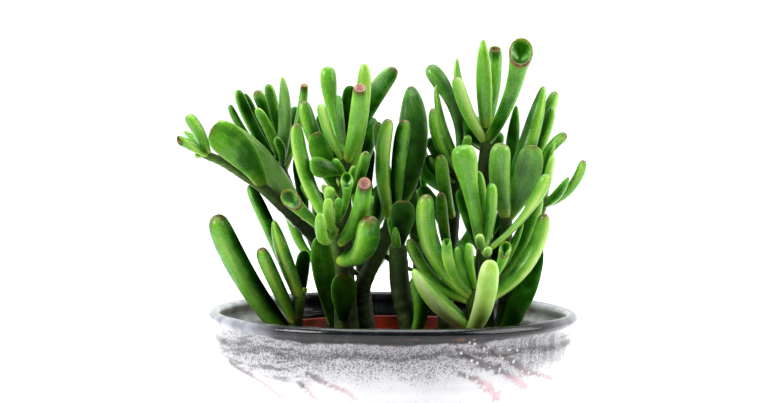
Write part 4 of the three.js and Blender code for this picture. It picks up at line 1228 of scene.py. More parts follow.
        # Painted highlight: the rim's ends are washed pale like a glint of the lights.
        ends = bench.math("ADD", bench.rise(on_bowl.across, *self.left_glint, 0.0, 0.9),
                          bench.rise(on_bowl.across, *self.right_glint, 0.0, 0.45))
        return bench.wash(body, self.painted_glint, ends, bench.rise(on_bowl.flow, 0.34, 0.56, 0.55, 1.0))

    def _trail(self, on_bowl: GlazePatterns, froth: Socket, bubbled: Socket) -> Socket:
        """The glaze of the runs: plum, pink where it froths, with white bubbles."""
        bench = on_bowl.bench
        foam = bench.rise(bench.cells(on_bowl.place, 430), 0.34, 0.24)
        return bench.wash(bench.blend(froth, self.plum, self.pink), self.white, foam, bubbled)


@dataclass(frozen=True)
class BrickPlastic:
    """Thin moulded plant-pot plastic with scuffs and a little dust."""

    body: Colour = paint("8a2610")
    deep: Colour = paint("5a1406")
    dust: Colour = paint("94553c")
    depth_of_light: Point = (0.002, 0.0006, 0.0003)

    def material(self) -> Finish:
        """The nursery pot's plastic."""
        bench = Bench("brick_plastic")
        place = bench.place()
        body = bench.wash(self.body, self.deep, bench.rise(bench.noise(place, 60, detail=4), 0.35, 0.65))
        scuffs = bench.noise(bench.stretch(place, (1.0, 1.0, 3.0)), 400, detail=4, roughness=0.65)
        body = bench.wash(body, self.dust, bench.rise(scuffs, 0.56, 0.74, 0.0, 0.5))
        grain = bench.relief(bench.noise(place, 1800, detail=2), 0.0001, 0.4)
        rough = bench.rise(scuffs, 0.4, 0.7, 0.38, 0.62)
        return bench.finish(Base_Color=body, Roughness=rough, Normal=grain, IOR=1.49, Specular_IOR_Level=0.2,
                            Subsurface_Weight=0.05, Subsurface_Radius=self.depth_of_light, Subsurface_Scale=1.0)


@dataclass(frozen=True)
class PottingSoil:
    """Dark damp peat with fibres."""

    peat: Colour = paint("1e150f")
    fibre: Colour = paint("4a3524")

    def material(self) -> Finish:
        """The peat and its crumbs."""
        bench = Bench("potting_soil")
        place = bench.place()
        lumps = bench.noise(place, 420, detail=6, roughness=0.7)
        body = bench.wash(self.peat, self.fibre, bench.rise(lumps, 0.4, 0.68))
        threads = bench.noise(bench.stretch(place, (1.0, 0.2, 1.0)), 1400, detail=3)
        body = bench.wash(body, self.fibre, bench.rise(threads, 0.6, 0.7, 0.0, 0.7))
        bumps = bench.relief(lumps, 0.002, 1.0)
        return bench.finish(Base_Color=body, Roughness=0.94, Normal=bumps)


@dataclass(frozen=True)
class Perlite:
    """The white grains in potting mix."""

    body: Colour = paint("d9d6cc")
    stain: Colour = paint("8a7a63")

    def material(self) -> Finish:
        """Chalky white with peat stains."""
        bench = Bench("perlite")
        place = bench.place()
        body = bench.wash(self.body, self.stain, bench.rise(bench.noise(place, 900, detail=4), 0.5, 0.7))
        bumps = bench.relief(bench.noise(place, 2200, detail=3), 0.0003, 0.8)
        return bench.finish(Base_Color=body, Roughness=0.9, Normal=bumps)


# ---- mesh helpers


def spun(profile: Iterable[Span], sides: int) -> Body:
    """Turns an outline about +Z.

    Args:
        profile: points of [radius, height], from one place on the axis to the other.
        sides: how many steps the turn takes.

    Returns:
        The turned mesh, with closed poles and its faces pointing out.
    """
    body = bmesh.new()
    corners = [body.verts.new((radius, 0.0, height)) for radius, height in profile]
    edges = [body.edges.new(pair) for pair in zip(corners, corners[1:])]
    bmesh.ops.spin(body, geom=corners + edges, cent=(0, 0, 0), axis=(0, 0, 1), angle=math.tau, steps=sides,
                   use_merge=True)
    bmesh.ops.remove_doubles(body, verts=body.verts, dist=WELD)
    bmesh.ops.recalc_face_normals(body, faces=body.faces)
    return body


def smooth_outline(points: Sequence[Span], step: float) -> list[Span]:
    """Draws a smooth line through [radius, height] points, with a point about every step."""
    line = StemLine([(radius, 0.0, height - POTS.rim_height) for radius, height in points])
    count = math.ceil(line.length() / step)
    drawn = [line.point(index / count) for index in range(count + 1)]
    return [(float(spot[0]), float(spot[2])) for spot in drawn]


def as_mesh(name: str, body: Body) -> bpy.types.Mesh:
    """Turns a bmesh into a mesh, and frees it."""
    mesh = bpy.data.meshes.new(name)
    body.to_mesh(mesh)
    body.free()
    return mesh


def placed(name: str, data: bpy.types.ID) -> Piece:
    """Puts a mesh, a light or a camera in the scene."""
    thing = bpy.data.objects.new(name, data)
    bpy.context.scene.collection.objects.link(thing)
    return thing


def add_into(target: Body, part: Body) -> None:
    """Moves one mesh's faces, attributes and all, into another, and frees it."""
    carrier = as_mesh("carrier", part)
    target.from_mesh(carrier)
    bpy.data.meshes.remove(carrier)


def finished(name: str, body: Body, materials: Sequence[Finish],
             smoothing: int = 0, node: str | None = None) -> Piece:
    """Makes a finished piece of a mesh in millimetres.

    Args:
        name: the piece's name.
        body: its mesh, which is freed.
        materials: its materials, by number.
        smoothing: how often its faces are subdivided.
        node: the CAD node that it stands for, if any.

    Returns:
        The piece, riding on its body.
    """
    bmesh.ops.scale(body, vec=(MM, MM, MM), verts=body.verts)
    mesh = as_mesh(name, body)
    mesh.shade_smooth()
    for material in materials:
        mesh.materials.append(material)
    piece = placed(name, mesh)
    if smoothing:
        modifier = piece.modifiers.new("Subdivision", "SUBSURF")
        modifier.levels = modifier.render_levels = smoothing
    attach(piece, BODY)
    if node:
        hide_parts(node)
    LOG.info("%s: %d faces before smoothing", name, len(mesh.polygons))
    return piece


# ---- the plant


@dataclass(frozen=True)
class Reddening:
    """Where a leaf's blush shows: spans of its length or half width, from where it starts to where it is full."""

    tip: Span = (0.94, 1.0)
    trumpet_mouth: Span = (0.93, 0.97)
    trumpet_rim: Span = (0.86, 1.0)
    tube_mouth: Span = (0.93, 0.98)
    tube_strength: float = 0.5
    cup_mouth: Span = (0.86, 0.9)
    cup_hollow: Span = (0.74, 0.66)
    spoon_tip: Span = (0.9, 0.99)
    spoon_blade: Span = (0.4, 0.8)
    spoon_edge: Span = (0.72, 0.98)
    spoon_strength: float = 0.8

    def at(self, form: Form, share: float, across: float, radius: float) -> float:
        """How much of a leaf's blush shows at a place on it.

        Args:
            form: the leaf's form.
            share: how far down the leaf the place is.
            across: how far it is from the leaf's middle plane, in half widths.
            radius: how far it is from the leaf's centre line, in half widths.

        Returns:
            A share from 0 to 1.
        """
        if form is Form.TRUMPET:
            return smoothstep(share, *self.trumpet_mouth) * smoothstep(radius, *self.trumpet_rim)
        if form is Form.TUBE:
            cup = smoothstep(share, *self.cup_mouth) * smoothstep(radius, *self.cup_hollow)
            return max(self.tube_strength * smoothstep(share, *self.tube_mouth), cup)
        if form is Form.SPOON:
            edge = smoothstep(abs(across), *self.spoon_edge) * smoothstep(share, *self.spoon_blade)
            return max(edge * self.spoon_strength, smoothstep(share, *self.spoon_tip))
        return smoothstep(share, *self.tip)


@dataclass
class LeafyStem:
    """One stem with its leaves: a bark tube with ring scars, turned and bent leaves, and a growing tip."""

    stem: Stem
    leaves: list[Leaf]
    skin: Finish
    bark: Finish
    shade: Shade
    leaf_sides: int = 12
    stem_sides: int = 12
    ring_gap: float = 4.6
    ring_height: float = 0.22
    ring_half: float = 0.6
    step: float = 0.9
    root_depth: float = 9.0
    root_flare: Span = (1.12, 1.1)
    tip_round: Outline = ((0.7, 0.45), (0.0, 0.6))
    bud_length: float = 4.2
    bud_width: float = 2.0
    wobble: float = 0.05
    # Painted shade: a leaf's tone drops by this much where the other leaves hide it.
    painted_shade_depth: float = 1.1
    # Painted rim light: how much lighter a leaf's sides are, as if lit from behind.
    painted_rim_light: float = 1.15
    painted_rim_light_span: Span = (0.75, 1.0)
    # Painted shade inside the mouths of trumpets and tubes.
    painted_cup_shade: float = 0.9
    cup_shade_from: float = 0.9
    cup_shade_span: Span = (0.98, 0.8)
    dish_start: Span = (0.2, 0.55)
    dish_end: Span = (1.05, 0.9)
    mouth_start: Span = (0.55, 0.95)
    tip_from: float = 0.8
    tone_scatter: float = 0.5
    stem_stride: int = 17
    leaf_stride: int = 5
    pattern_stride: int = 31
    bud_turn: float = 35.0
    bud_wander: float = 60.0
    small_bud: float = 0.72
    bud_rise: Span = (1.15, 0.3)
    bud_spread: float = 0.42
    bud_bow: float = 0.12
    first_bud: int = 40
    reddening: Reddening = Reddening()
    line: StemLine = field(init=False)

    def __post_init__(self) -> None:
        """Draws the stem's line."""
        self.line = StemLine(self.stem.line)

    def build(self) -> Piece:
        """Makes the whole leafy stem as one piece in place of its node."""
        body = bmesh.new()
        add_into(body, self._stem_tube())
        for number, leaf in enumerate(self.leaves):
            add_into(body, self._leaf(leaf, number))
        for bud in self._buds():
            add_into(body, bud)
        return finished(self.stem.name.replace("_stem", "_leafy_stem"), body, (self.skin, self.bark),
                        smoothing=1, node=self.stem.name)

    def _leaf(self, leaf: Leaf, number: int) -> Body:
        """Turns a leaf's form and bends it along the leaf.

        Args:
            leaf: the leaf.
            number: its number on the stem, which sets its own small differences.

        Returns:
            Its mesh in millimetres, with its tint on every vertex.
        """
        shape = SHAPES[leaf.row.form]
        form = spun([(radius, share) for share, radius in shape.outline], self.leaf_sides)
        tint = form.verts.layers.float_color.new(TINT_LAYER)
        way = form.verts.layers.float_vector.new(WAY_LAYER)
        seed = leaf.stem * self.stem_stride + number * self.leaf_stride
        half = leaf.row.width / 2
        tone, blush, bloom = leaf.row.tint.value
        tone += self.tone_scatter * (spread(seed) - 0.5)
        outward = []
        for vert in form.verts:
            across, through, share = vert.co
            radius = math.hypot(across, through)
            centre, along, normal, side = leaf.frame_at(share)
            wave = 1 + self.wobble * noise.noise(Vector((across, through, share * 4 + seed)))
            press = 1 - shape.dish * smoothstep(share, *self.dish_start) * smoothstep(share, *self.dish_end)
            rise = through * (press if through > 0 else 1.0)
            slip = shape.mouth_slope * through * half * shape.thickness * smoothstep(share, *self.mouth_start)
            lift = rise * half * shape.thickness * wave
            spot = centre + side * across * half * wave + normal * lift - along * slip
            outward.append(side * across + normal * through + along * 2 * max(0.0, share - self.tip_from))
            flush = blush * self.reddening.at(leaf.row.form, share, across, radius)
            vert[tint] = (share, self._tone_at(leaf.row.form, share, across, radius), flush, bloom)
            vert[way] = Vector((across * half + seed * self.pattern_stride, lift, share * leaf.length)) * MM
            vert.co = spot
        self._paint_shade(form, outward, leaf, tone, -self.painted_shade_depth)
        return form

    def _paint_shade(self, body: Body, outward: Sequence[np.ndarray], leaf: Leaf | None, start: float,
                change: float) -> None:
        """Adds how hidden each vertex is to the second channel of its tint.

        Args:
            body: the mesh in place.
            outward: which way the surface faces at each vertex.
            leaf: the leaf that it is, if any.
            start: the value in full daylight.
            change: what is added to it where the leaves hide all daylight.
        """
        normals = np.array(outward)
        normals /= np.maximum(np.linalg.norm(normals, axis=1, keepdims=True), 1e-6)
        hidden = self.shade.at(np.array([vert.co for vert in body.verts]), normals, leaf)
        tint = body.verts.layers.float_color[TINT_LAYER]
        # Painted shade: the tone darkens with how hidden the vertex is.
        for vert, dark in zip(body.verts, hidden):
            share, tone, blush, bloom = vert[tint]
            vert[tint] = (share, tone + start + change * float(dark), blush, bloom)

    def _tone_at(self, form: Form, share: float, across: float, radius: float) -> float:
        """How much lighter a leaf's sides are painted than its middle, as a rim light, and how much deeper the inside
        of its mouth is painted, as shade.
        """
        # Painted rim light on the leaf's sides.
        tone = self.painted_rim_light * smoothstep(abs(across) / max(radius, 1e-6), *self.painted_rim_light_span)
        # Painted shade in the hollow of an open mouth.
        if form in (Form.TRUMPET, Form.TUBE) and share > self.cup_shade_from:
            tone -= self.painted_cup_shade * smoothstep(max(radius, 1e-6), *self.cup_shade_span)
        return tone

    def _ring_at(self, height: float, half: float) -> float:
        """How near a height on the stem is to a ring scar's middle, from 0 at this half width to 1."""
        return max(0.0, 1 - abs(height % self.ring_gap - self.ring_gap / 2) / half)

    def _stem_tube(self) -> Body:
        """The stem itself, from its root in the soil to its growing tip."""
        length = self.line.length()
        count = math.ceil(length / self.step)
        low, high = (thickness / 2 for thickness in self.stem.thick)
        foot, swell = (low * flare for flare in self.root_flare)
        profile = [(0.0, -self.root_depth), (foot, -self.root_depth), (swell, -self.root_depth / 2)]
        for index in range(count + 1):
            share = index / count
            ring = self._ring_at(share * length, self.ring_half)
            profile.append((mix(low, high, share) + self.ring_height * ring, share * length))
        profile += [(high * wide, length + high * rise) for wide, rise in self.tip_round]
        tube = spun(profile, self.stem_sides)
        tint = tube.verts.layers.float_color.new(TINT_LAYER)
        way = tube.verts.layers.float_vector.new(WAY_LAYER)
        outward = []
        for vert in tube.verts:
            across, through, height = vert.co
            share = min(max(height / length, 0.0), 1.0)
            along, normal, side = self.line.frame_at(share)
            beyond = height - share * length
            ahead = along if beyond > 0 else np.array([0.0, 0.0, 1.0])
            vert[tint] = (share, 0.0, self._ring_at(share * length, 2 * self.ring_half), 0.0)
            vert[way] = Vector((across, through, height)) * MM
            wave = 1 + self.wobble * noise.noise(Vector((across * 0.4, through * 0.4, height * 0.3)))
            vert.co = self.line.point(share) + ahead * beyond + (side * across + normal * through) * wave
            outward.append(side * across + normal * through)
        # Painted shade on the bark, kept in the tint's second channel.
        self._paint_shade(tube, outward, None, 0.0, 1.0)
        for face in tube.faces:
            face.material_index = 1
        return tube

    def _buds(self) -> Iterable[Body]:
        """The opposite pairs of tiny leaves at the stem's growing tip."""
        root = self.line.point(1.0)
        along, normal, side = self.line.frame_at(1.0)
        for index in range(4):
            turn = math.radians(90 * index + self.bud_turn + self.bud_wander * spread(index + len(self.leaves)))
            size = 1 if index % 2 else self.small_bud
            outward = side * math.cos(turn) + normal * math.sin(turn)
            rise = self.bud_rise[0] - self.bud_rise[1] * size
            tip = root + along * self.bud_length * rise + outward * self.bud_length * self.bud_spread * size
            place = (float(tip[0]), float(tip[1]), float(tip[2]) - POTS.rim_height)
            row = Row(Form.FINGER, 1.0, place, self.bud_width * size, self.bud_bow, Tint.BRIGHT)
            yield self._leaf(Leaf.lay(row, self.leaves[0].stem, self.line), self.first_bud + index)


@dataclass
class JadePlant:
    """The whole plant: every stem with its leaves bent clear of each other."""

    growth: BackGrowth = BackGrowth()
    settling: Settling = Settling()

    def build(self) -> list[Piece]:
        """Lays and settles the leaves, and builds one piece for each leafy stem."""
        stems = [*STEMS, *(self.growth.stem(*row) for row in BACK_LINES)]
        lines = [StemLine(stem.line) for stem in stems]
        leaves = [Leaf.lay(row, index, lines[index]) for index, stem in enumerate(stems) for row in stem.leaves]
        LeafCrowd(leaves, stems, self.settling).settle()
        skin, bark, shade = WaxyLeaf().material(), StemBark().material(), Shade(leaves)
        return [LeafyStem(stem, [leaf for leaf in leaves if leaf.stem == index], skin, bark, shade).build()
                for index, stem in enumerate(stems)]


# ---- the pots and the soil


@dataclass(frozen=True)
class GlazeRun:
    """A run of glaze down the outside.

    Attributes:
        path: places down the wall as [degrees round from the front, height].
        width: how wide it is at its start and at its end.
        froth: how pink it is at its end, from 0 to 1.
        bubbled: how full of white bubbles it is, from 0 to 1.
    """

    path: Outline
    width: Span
    froth: float
    bubbled: float = 0.0


GLAZE_RUNS = (
    GlazeRun(((-64.7, 78.5), (-54.5, 75.8), (-46.2, 73), (-38.2, 67.8)), (0.7, 0.4), 0.7),
    GlazeRun(((-30.8, 74.4), (-28.5, 71.5), (-25.2, 68.3)), (1.8, 0.4), 1, 0.8),
    GlazeRun(((-27.5, 78.2), (-23.9, 76.2), (-20, 74.1), (-15.2, 72.1), (-11.8, 69.1)), (2, 0.4), 0.8, 0.6),
    GlazeRun(((19.5, 87.9), (23.7, 84.6), (29, 81.2), (33.5, 79.6)), (1, 3), 0, 1),
    GlazeRun(((33.5, 79.6), (40, 75.8), (47.2, 70.9)), (1, 2), 1),
    GlazeRun(((23.8, 91), (28.9, 88.4), (33.9, 84.9), (41.1, 86)), (1.6, 1.8), 0, 0.9),
    GlazeRun(((36.2, 83.9), (40.5, 81.2), (45.5, 77.4), (57, 74.2), (71.7, 69.4)), (2.6, 0.6), 0.5, 0.8),
    GlazeRun(((19.3, 79.2), (25.9, 76.4), (29.7, 73.7), (34.8, 68.9)), (0.9, 3.2), 1, 0.7),
    GlazeRun(((92, 82), (100, 76), (112, 66)), (2.4, 1.2), 0.8, 0.8),
    GlazeRun(((128, 80), (140, 70)), (1.4, 1.8), 0.7),
    GlazeRun(((163, 86), (171, 78), (184, 68)), (2.6, 1.4), 0.9, 0.9),
    GlazeRun(((206, 79), (222, 67)), (1.2, 1.6), 0.8, 0.4),
    GlazeRun(((246, 83), (254, 77), (268, 69)), (2.2, 1), 0.7, 0.8),
)


@dataclass
class GlazedBowl:
    """The round stoneware bowl with its rolled rim."""

    foot: Outline = ((0, 0), (24, 0), (45.2, 0), (46, 0.7))
    outside: Outline = ((46.6, 1.8), (49, 6), (56, 20), (62.5, 40), (67, 60), (69.8, 74), (71.6, 83), (71.3, 89))
    inside: Outline = ((67, 88), (66.6, 80), (64.6, 70), (61, 55), (55, 35), (47, 18), (41, 8))
    floor: Outline = ((30, 7.6), (0, 7.4))
    foot_radius: float = 46.0
    floor_height: float = 8.0
    roll_from: float = -60.0
    roll_to: float = 235.0
    roll_steps: int = 15
    sides: int = 480
    outline_step: float = 2.2
    upper_step: float = 0.8
    upper_foot: float = 64.0
    throwing_gap: float = 4.4
    throwing_depth: float = 0.1
    throwing_heights: Span = (15, 60)
    rim_heights: Span = (84, 93)
    rim_wave: float = 0.35
    rim_waves: tuple[Point, ...] = ((0.6, 2, 0.7), (0.4, 5, 2.1))
    rim_lean: float = 0.6
    lining_inset: Span = (0.3, 1.5)
    lining_height: float = 88.0
    run_height: float = 0.3
    run_reach: float = 4.0
    run_blur: float = 0.7
    run_froth: Span = (0.15, 0.8)

    def build(self) -> Piece:
        """Spins the bowl, adds its hand-made unevenness and its glaze runs."""
        body = spun(self._profile(), self.sides)
        layer = body.verts.layers.float_color.new(GLAZE_LAYER)
        for vert in body.verts:
            self._shape_vert(vert, layer)
        return finished("glazed_bowl", body, (SpeckledGlaze().material(),), node="bowl")

    def _profile(self) -> list[Span]:
        """The bowl's closed section, from the middle of its foot round the rim to the middle of its floor."""
        roll = []
        for index in range(self.roll_steps + 1):
            angle = math.radians(mix(self.roll_from, self.roll_to, index / self.roll_steps))
            roll.append((POTS.rim_radius + POTS.rim_tube * math.cos(angle),
                         POTS.rim_height + POTS.rim_tube * math.sin(angle)))
        wall = (*self.outside, roll[0])
        lower = [row for row in smooth_outline(wall, self.outline_step) if row[1] < self.upper_foot]
        upper = [row for row in smooth_outline(wall, self.upper_step)[:-1] if row[1] >= self.upper_foot]
        lining = smooth_outline(self.inside, self.outline_step)
        return [*self.foot, *lower, *upper, *roll, *lining, *self.floor]

    def _shape_vert(self, vert: bmesh.types.BMVert, layer: bmesh.types.BMLayerItem) -> None:
        """Moves one vertex by the thrower's marks and the glaze, and writes the glaze's attribute.

        Args:
            vert: the vertex, in millimetres.
            layer: where (run, froth, inside, bubbled) is kept.
        """
        x, y, height = vert.co
        radius = math.hypot(x, y)
        if radius < self.foot_radius - 1:
            vert[layer] = (0.0, 0.0, float(height > self.floor_height / 2), 1.0)
            return
        turn = math.atan2(x, -y)
        inside = float(height > self.floor_height - 1 and radius < self._wall_middle(height))
        turned_in = smoothstep(radius, *(POTS.rim_radius - inset for inset in self.lining_inset))
        inside = max(inside, turned_in * float(height > self.lining_height))
        upper = smoothstep(height, *self.throwing_heights)
        marks = self.throwing_depth * math.sin(math.tau * height / self.throwing_gap + turn) * upper
        run, froth, bubbled = (0.0, 0.0, 0.0) if inside > 0.5 else self._run_at(turn, radius, height)
        push = marks + run * self.run_height
        if inside:
            push = -marks * inside
        rim = smoothstep(height, *self.rim_heights)
        waves = sum(size * math.sin(count * turn + start) for size, count, start in self.rim_waves)
        lift = rim * self.rim_wave * waves - rim * self.rim_lean * x / POTS.rim_radius
        scale = (radius + push) / radius
        vert.co = (x * scale, y * scale, height + lift)
        vert[layer] = (run, froth, inside, bubbled)

    def _wall_middle(self, height: float) -> float:
        """The radius halfway through the wall at a height."""
        heights, radii = zip(*((z, r) for r, z in self.outside[1:]))
        outer = float(np.interp(height, heights, radii))
        heights, radii = zip(*((z, r) for r, z in reversed(self.inside)))
        return (outer + float(np.interp(height, heights, radii))) / 2

    def _run_at(self, turn: float, radius: float, height: float) -> tuple[float, float, float]:
        """Finds the glaze run at a place on the outside.

        Args:
            turn: the place's angle from the front.
            radius: its distance from the axis.
            height: its height.

        Returns:
            How much of a run lies there, how frothy it is and how bubbled, each from 0 to 1.
        """
        best, froth, bubbled = 0.0, 0.0, 0.0
        for run in GLAZE_RUNS:
            away, share = self._nearest(run, turn, radius, height)
            if away > self.run_reach:
                continue
            wander = noise.noise(Vector((share * 14, run.path[0][0], 3.0)))
            swell = mix(*run.width, share) * (0.9 + 0.7 * wander) / 2
            amount = smoothstep(away, swell + self.run_blur, swell)
            if amount > best:
                best, froth, bubbled = amount, run.froth * smoothstep(share, *self.run_froth), run.bubbled
        return best, froth, bubbled

    def _nearest(self, run: GlazeRun, turn: float, radius: float, height: float) -> Span:
        """Measures a place on the outside against the middle of a run.

        Args:
            run: the run.
            turn: the place's angle from the front.
            radius: its distance from the axis.
            height: its height.

        Returns:
            How far it is from the run's middle, in millimetres, and how far down the run that is, from 0 to 1.
        """
        best, share = math.inf, 0.0
        steps = len(run.path) - 1
        for index, (start, end) in enumerate(zip(run.path, run.path[1:])):
            offset = (turn - math.radians(start[0]) + math.pi) % math.tau - math.pi
            reach, fall = math.radians(end[0] - start[0]) * radius, end[1] - start[1]
            across, down = offset * radius, height - start[1]
            part = min(max((across * reach + down * fall) / (reach ** 2 + fall ** 2), 0.0), 1.0)
            away = math.hypot(across - part * reach, down - part * fall)
            if away < best:
                best, share = away, (index + part) / steps
        return best, share


@dataclass
class NurseryPot:
    """The thin plastic pot that the plant grew in, with its stepped band, lip and drain holes."""

    top_radius: float = 52.5
    top_height: float = 88.0
    bottom_radius: float = 37.0
    bottom_height: float = 8.3
    band_height: float = 12.0
    band_step: float = 1.4
    wall: float = 1.3
    sides: int = 144
    drain_holes: int = 6
    drain_radius: float = 4.0
    drain_circle: float = 24.0
    drain_sides: int = 24
    flex: float = 0.25
    flex_from: float = 40.0

    def build(self) -> Piece:
        """Spins the pot, cuts its drain holes and bends its lip a little."""
        body = spun(self._profile(), self.sides)
        for vert in body.verts:
            turn = math.atan2(vert.co.y, vert.co.x)
            bend = self.flex * smoothstep(vert.co.z, self.flex_from, self.top_height) * math.sin(3 * turn + 0.6)
            vert.co.x *= 1 + bend / self.top_radius
            vert.co.y *= 1 + bend / self.top_radius
        pot = finished("nursery_pot_shell", body, (BrickPlastic().material(),), node="nursery_pot")
        self._cut_drains(pot)
        return pot

    def _profile(self) -> list[Span]:
        """The pot's closed section, from the middle of its underside round the lip to the middle of its floor."""
        band_foot, corner = self.top_height - self.band_height, self.bottom_height + 1.5
        outer, inner = self.top_radius - self.band_step, self.top_radius - self.wall
        floor_top, floor_edge = self.bottom_height + self.wall, self.bottom_radius - self.wall
        below_band = [(mix(self.bottom_radius, outer, share), mix(corner, band_foot, share))
                      for share in (0.1, 0.3, 0.5, 0.7, 0.9, 0.99)]
        halfway = (mix(self.bottom_radius, outer, 0.5) - self.wall, mix(floor_top, band_foot, 0.5))
        return [
            (0.0, self.bottom_height), (self.bottom_radius - 1.5, self.bottom_height),
            (self.bottom_radius - 0.4, self.bottom_height + 0.4), (self.bottom_radius, corner), *below_band,
            (outer, band_foot), (self.top_radius - 0.3, band_foot + 0.4), (self.top_radius, band_foot + 0.9),
            (self.top_radius + 0.1, band_foot + 6), (self.top_radius + 0.25, self.top_height - 0.8),
            (self.top_radius + 0.2, self.top_height - 0.2), (self.top_radius - 0.2, self.top_height),
            (inner + 0.3, self.top_height - 0.05), (inner, self.top_height - 0.5), (inner, band_foot + 1.4),
            (outer - self.wall, band_foot), halfway, (floor_edge, floor_top + 1), (floor_edge - 1, floor_top),
            (0.0, floor_top),
        ]

    def _cut_drains(self, pot: Piece) -> None:
        """Cuts the round drain holes through the floor."""
        drills = bmesh.new()
        for index in range(self.drain_holes):
            angle = index / self.drain_holes * math.tau
            drill = bmesh.ops.create_cone(drills, cap_ends=True, segments=self.drain_sides,
                                          radius1=self.drain_radius, radius2=self.drain_radius,
                                          depth=6 * self.wall)["verts"]
            spot = (self.drain_circle * math.cos(angle), self.drain_circle * math.sin(angle), self.bottom_height)
            bmesh.ops.translate(drills, vec=spot, verts=drill)
        bmesh.ops.scale(drills, vec=(MM, MM, MM), verts=drills.verts)
        cutter = placed("drills", as_mesh("drills", drills))
        modifier = pot.modifiers.new("Drains", "BOOLEAN")
        modifier.operation, modifier.object, modifier.solver = "DIFFERENCE", cutter, "EXACT"
        bpy.context.view_layer.update()
        cut = bpy.data.meshes.new_from_object(pot.evaluated_get(bpy.context.evaluated_depsgraph_get()))
        pot.modifiers.clear()
        pot.data = cut
        bpy.data.objects.remove(cutter)


@dataclass
class PottingMix:
    """The peat that fills the nursery pot, with crumbs and perlite on top."""

    radius: float = 49.0
    bottom_radius: float = 36.0
    bottom: float = 9.9
    sides: int = 96
    rings: int = 24
    crumbs: int = 420
    crumb_sizes: Span = (0.7, 2.2)
    grains: int = 110
    grain_sizes: Span = (0.5, 1.3)
    lump_range: Span = (0.7, 1.15)
    lump_height: float = 0.7
    lump_lift: float = 0.25
    seed: int = 7

    def build(self) -> list[Piece]:
        """Makes the peat's body and what lies on it."""
        top = POTS.soil_height
        rings = [(mix(self.radius, 0.0, index / self.rings), top) for index in range(1, self.rings + 1)]
        body = spun([(0.0, self.bottom), (self.bottom_radius - 1, self.bottom), (self.bottom_radius, self.bottom + 1),
                     (self.radius, top - 4), (self.radius, top - 0.8), (self.radius - 0.6, top), *rings], self.sides)
        for vert in body.verts:
            if vert.co.z > top - 1.0:
                vert.co.z += self._bump(vert.co.x, vert.co.y)
        peat = PottingSoil().material()
        soil = finished("potting_mix", body, (peat,), node="soil")
        crumbs = self._scatter("soil_crumbs", self.crumbs, self.crumb_sizes, peat)
        grains = self._scatter("perlite_grains", self.grains, self.grain_sizes, Perlite().material())
        return [soil, crumbs, grains]

    def _bump(self, x: float, y: float) -> float:
        """How far the peat stands above its level at a place."""
        wide = POTS.soil_bump * math.sin(x * 0.23) * math.cos(y * 0.31)
        return wide + 0.5 * noise.noise(Vector((x * 0.35, y * 0.35, 0.0))) + 0.3 * noise.noise(Vector((x, y, 5.0)))

    def _scatter(self, name: str, count: int, sizes: Span, finish: Finish) -> Piece:
        """Strews small lumps over the peat.

        Args:
            name: the piece's name.
            count: how many lumps.
            sizes: their least and greatest radius.
            finish: their material.

        Returns:
            The piece that holds them all.
        """
        draw = random.Random(self.seed + count)
        body = bmesh.new()
        for _ in range(count):
            away, turn = (self.radius - 2) * math.sqrt(draw.random()), draw.uniform(0, math.tau)
            size = draw.uniform(*sizes)
            lump = bmesh.ops.create_icosphere(body, subdivisions=1, radius=size)["verts"]
            for vert in lump:
                vert.co *= draw.uniform(*self.lump_range)
                vert.co.z *= self.lump_height
            x, y = away * math.cos(turn), away * math.sin(turn)
            height = POTS.soil_height + self._bump(x, y) + size * self.lump_lift
            bmesh.ops.translate(body, vec=(x, y, height), verts=lump)
        return finished(name, body, (finish,))


# ---- the studio


@dataclass(frozen=True)
class SoftBox:
    """A square soft light: its name, its place and size in metres, and its power in watts."""

    name: str
    place: Point
    size: float
    power: float


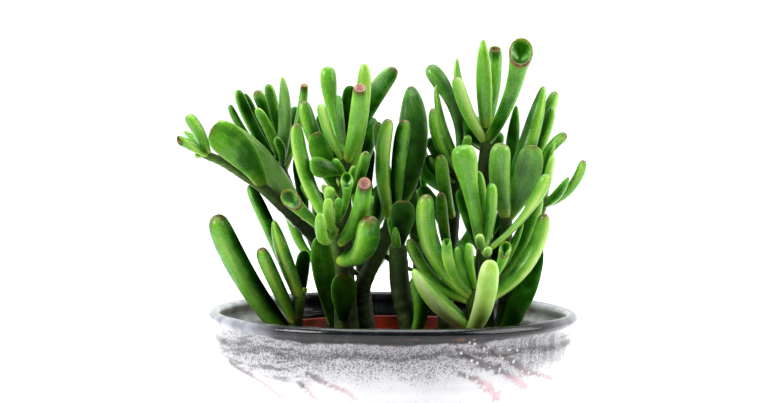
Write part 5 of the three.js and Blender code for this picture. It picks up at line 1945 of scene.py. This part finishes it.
@dataclass
class Studio:
    """A pale floor that glows as a hidden light, dim in front and bright behind the plant, soft lights and a camera a
    little above the rim, all in metres.
    """

    camera_place: Point = (-0.00361, -1.09840, 0.21260)
    camera_pitch: float = 3.81
    lens: float = 128.9
    sensor: float = 36.0
    clip: Span = (0.05, 50)
    floor_radius: float = 60.0
    floor_colour: Colour = (0.9, 0.9, 0.9, 1.0)
    near_glow: float = 0.12
    far_glow: float = 0.78
    glow_depth: Span = (-0.1, 0.35)
    front_wall: float = 0.05
    back_wall: float = 1.15
    wall_turn: Span = (-0.4, 0.5)
    aim: Point = (0.0, 0.0, 0.13)
    boxes: tuple[SoftBox, ...] = (
        SoftBox("left_box", (-1.0, -0.45, 0.8), 0.6, 16.0),
        SoftBox("right_box", (1.05, -0.15, 0.75), 0.9, 14.0),
        SoftBox("top_box", (0.0, 0.1, 1.3), 1.0, 16.0),
    )

    def build(self) -> None:
        """Sets up the camera, the floor, the lights and the colours of the picture."""
        self._camera()
        self._floor()
        for box in self.boxes:
            self._soft_box(box)
        self._sky()
        bpy.context.scene.view_settings.view_transform = "Standard"

    def _sky(self) -> None:
        """White walls: bright behind the plant, and dimmer behind the camera."""
        world = bpy.data.worlds.new("white_studio")
        world.use_nodes = True
        tree = world.node_tree
        heading = tree.nodes.new("ShaderNodeSeparateXYZ")
        tree.links.new(tree.nodes.new("ShaderNodeTexCoord").outputs["Generated"], heading.inputs[0])
        depth = tree.nodes.new("ShaderNodeMapRange")
        depth.interpolation_type = "SMOOTHSTEP"
        for name, value in (("From Min", self.wall_turn[0]), ("From Max", self.wall_turn[1]),
                            ("To Min", self.front_wall), ("To Max", self.back_wall)):
            depth.inputs[name].default_value = value
        tree.links.new(heading.outputs["Y"], depth.inputs["Value"])
        tree.nodes["Background"].inputs["Color"].default_value = (1.0, 1.0, 1.0, 1.0)
        tree.links.new(depth.outputs[0], tree.nodes["Background"].inputs["Strength"])
        bpy.context.scene.world = world

    def _camera(self) -> None:
        """The camera, pitched down a little."""
        data = bpy.data.cameras.new("camera")
        data.lens, data.sensor_width = self.lens, self.sensor
        data.clip_start, data.clip_end = self.clip
        camera = placed("camera", data)
        camera.location = self.camera_place
        camera.rotation_euler = (math.radians(90 - self.camera_pitch), 0, 0)
        bpy.context.scene.camera = camera

    def _floor(self) -> None:
        """The round floor that the bowl stands on. Its glow is painted light: dim in front of the bowl, bright behind
        it.
        """
        disc = bmesh.new()
        bmesh.ops.create_circle(disc, cap_ends=True, segments=96, radius=self.floor_radius)
        mesh = as_mesh("floor", disc)
        bench = Bench("pale_floor")
        glow = bench.rise(bench.axes(bench.place())[1], *self.glow_depth, self.near_glow, self.far_glow)
        mesh.materials.append(bench.finish(Base_Color=self.floor_colour, Roughness=1.0, Specular_IOR_Level=0.0,
                                            Emission_Color=self.floor_colour, Emission_Strength=glow))
        floor = placed("floor", mesh)
        floor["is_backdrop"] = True

    def _soft_box(self, box: SoftBox) -> None:
        """One soft box, which looks at the plant."""
        data = bpy.data.lights.new(box.name, "AREA")
        data.size, data.energy = box.size, box.power
        light = placed(box.name, data)
        light.location = box.place
        light.rotation_euler = (Vector(self.aim) - Vector(box.place)).to_track_quat("-Z", "Y").to_euler()


def write_sizes() -> None:
    """Works out the CAD model's box and the dressed model's box, and does nothing more with them."""
    boxes = {name: [list(corner) for corner in box] for name, box in (("cad", CAD_BOX), ("visual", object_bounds()))}


def main() -> None:
    """Builds the studio, the pots and the plant in order."""
    logging.basicConfig(level=logging.INFO, format="%(name)s %(message)s")
    Studio().build()
    GlazedBowl().build()
    NurseryPot().build()
    PottingMix().build()
    JadePlant().build()
    write_sizes()


if __name__ == "__main__":
    main()
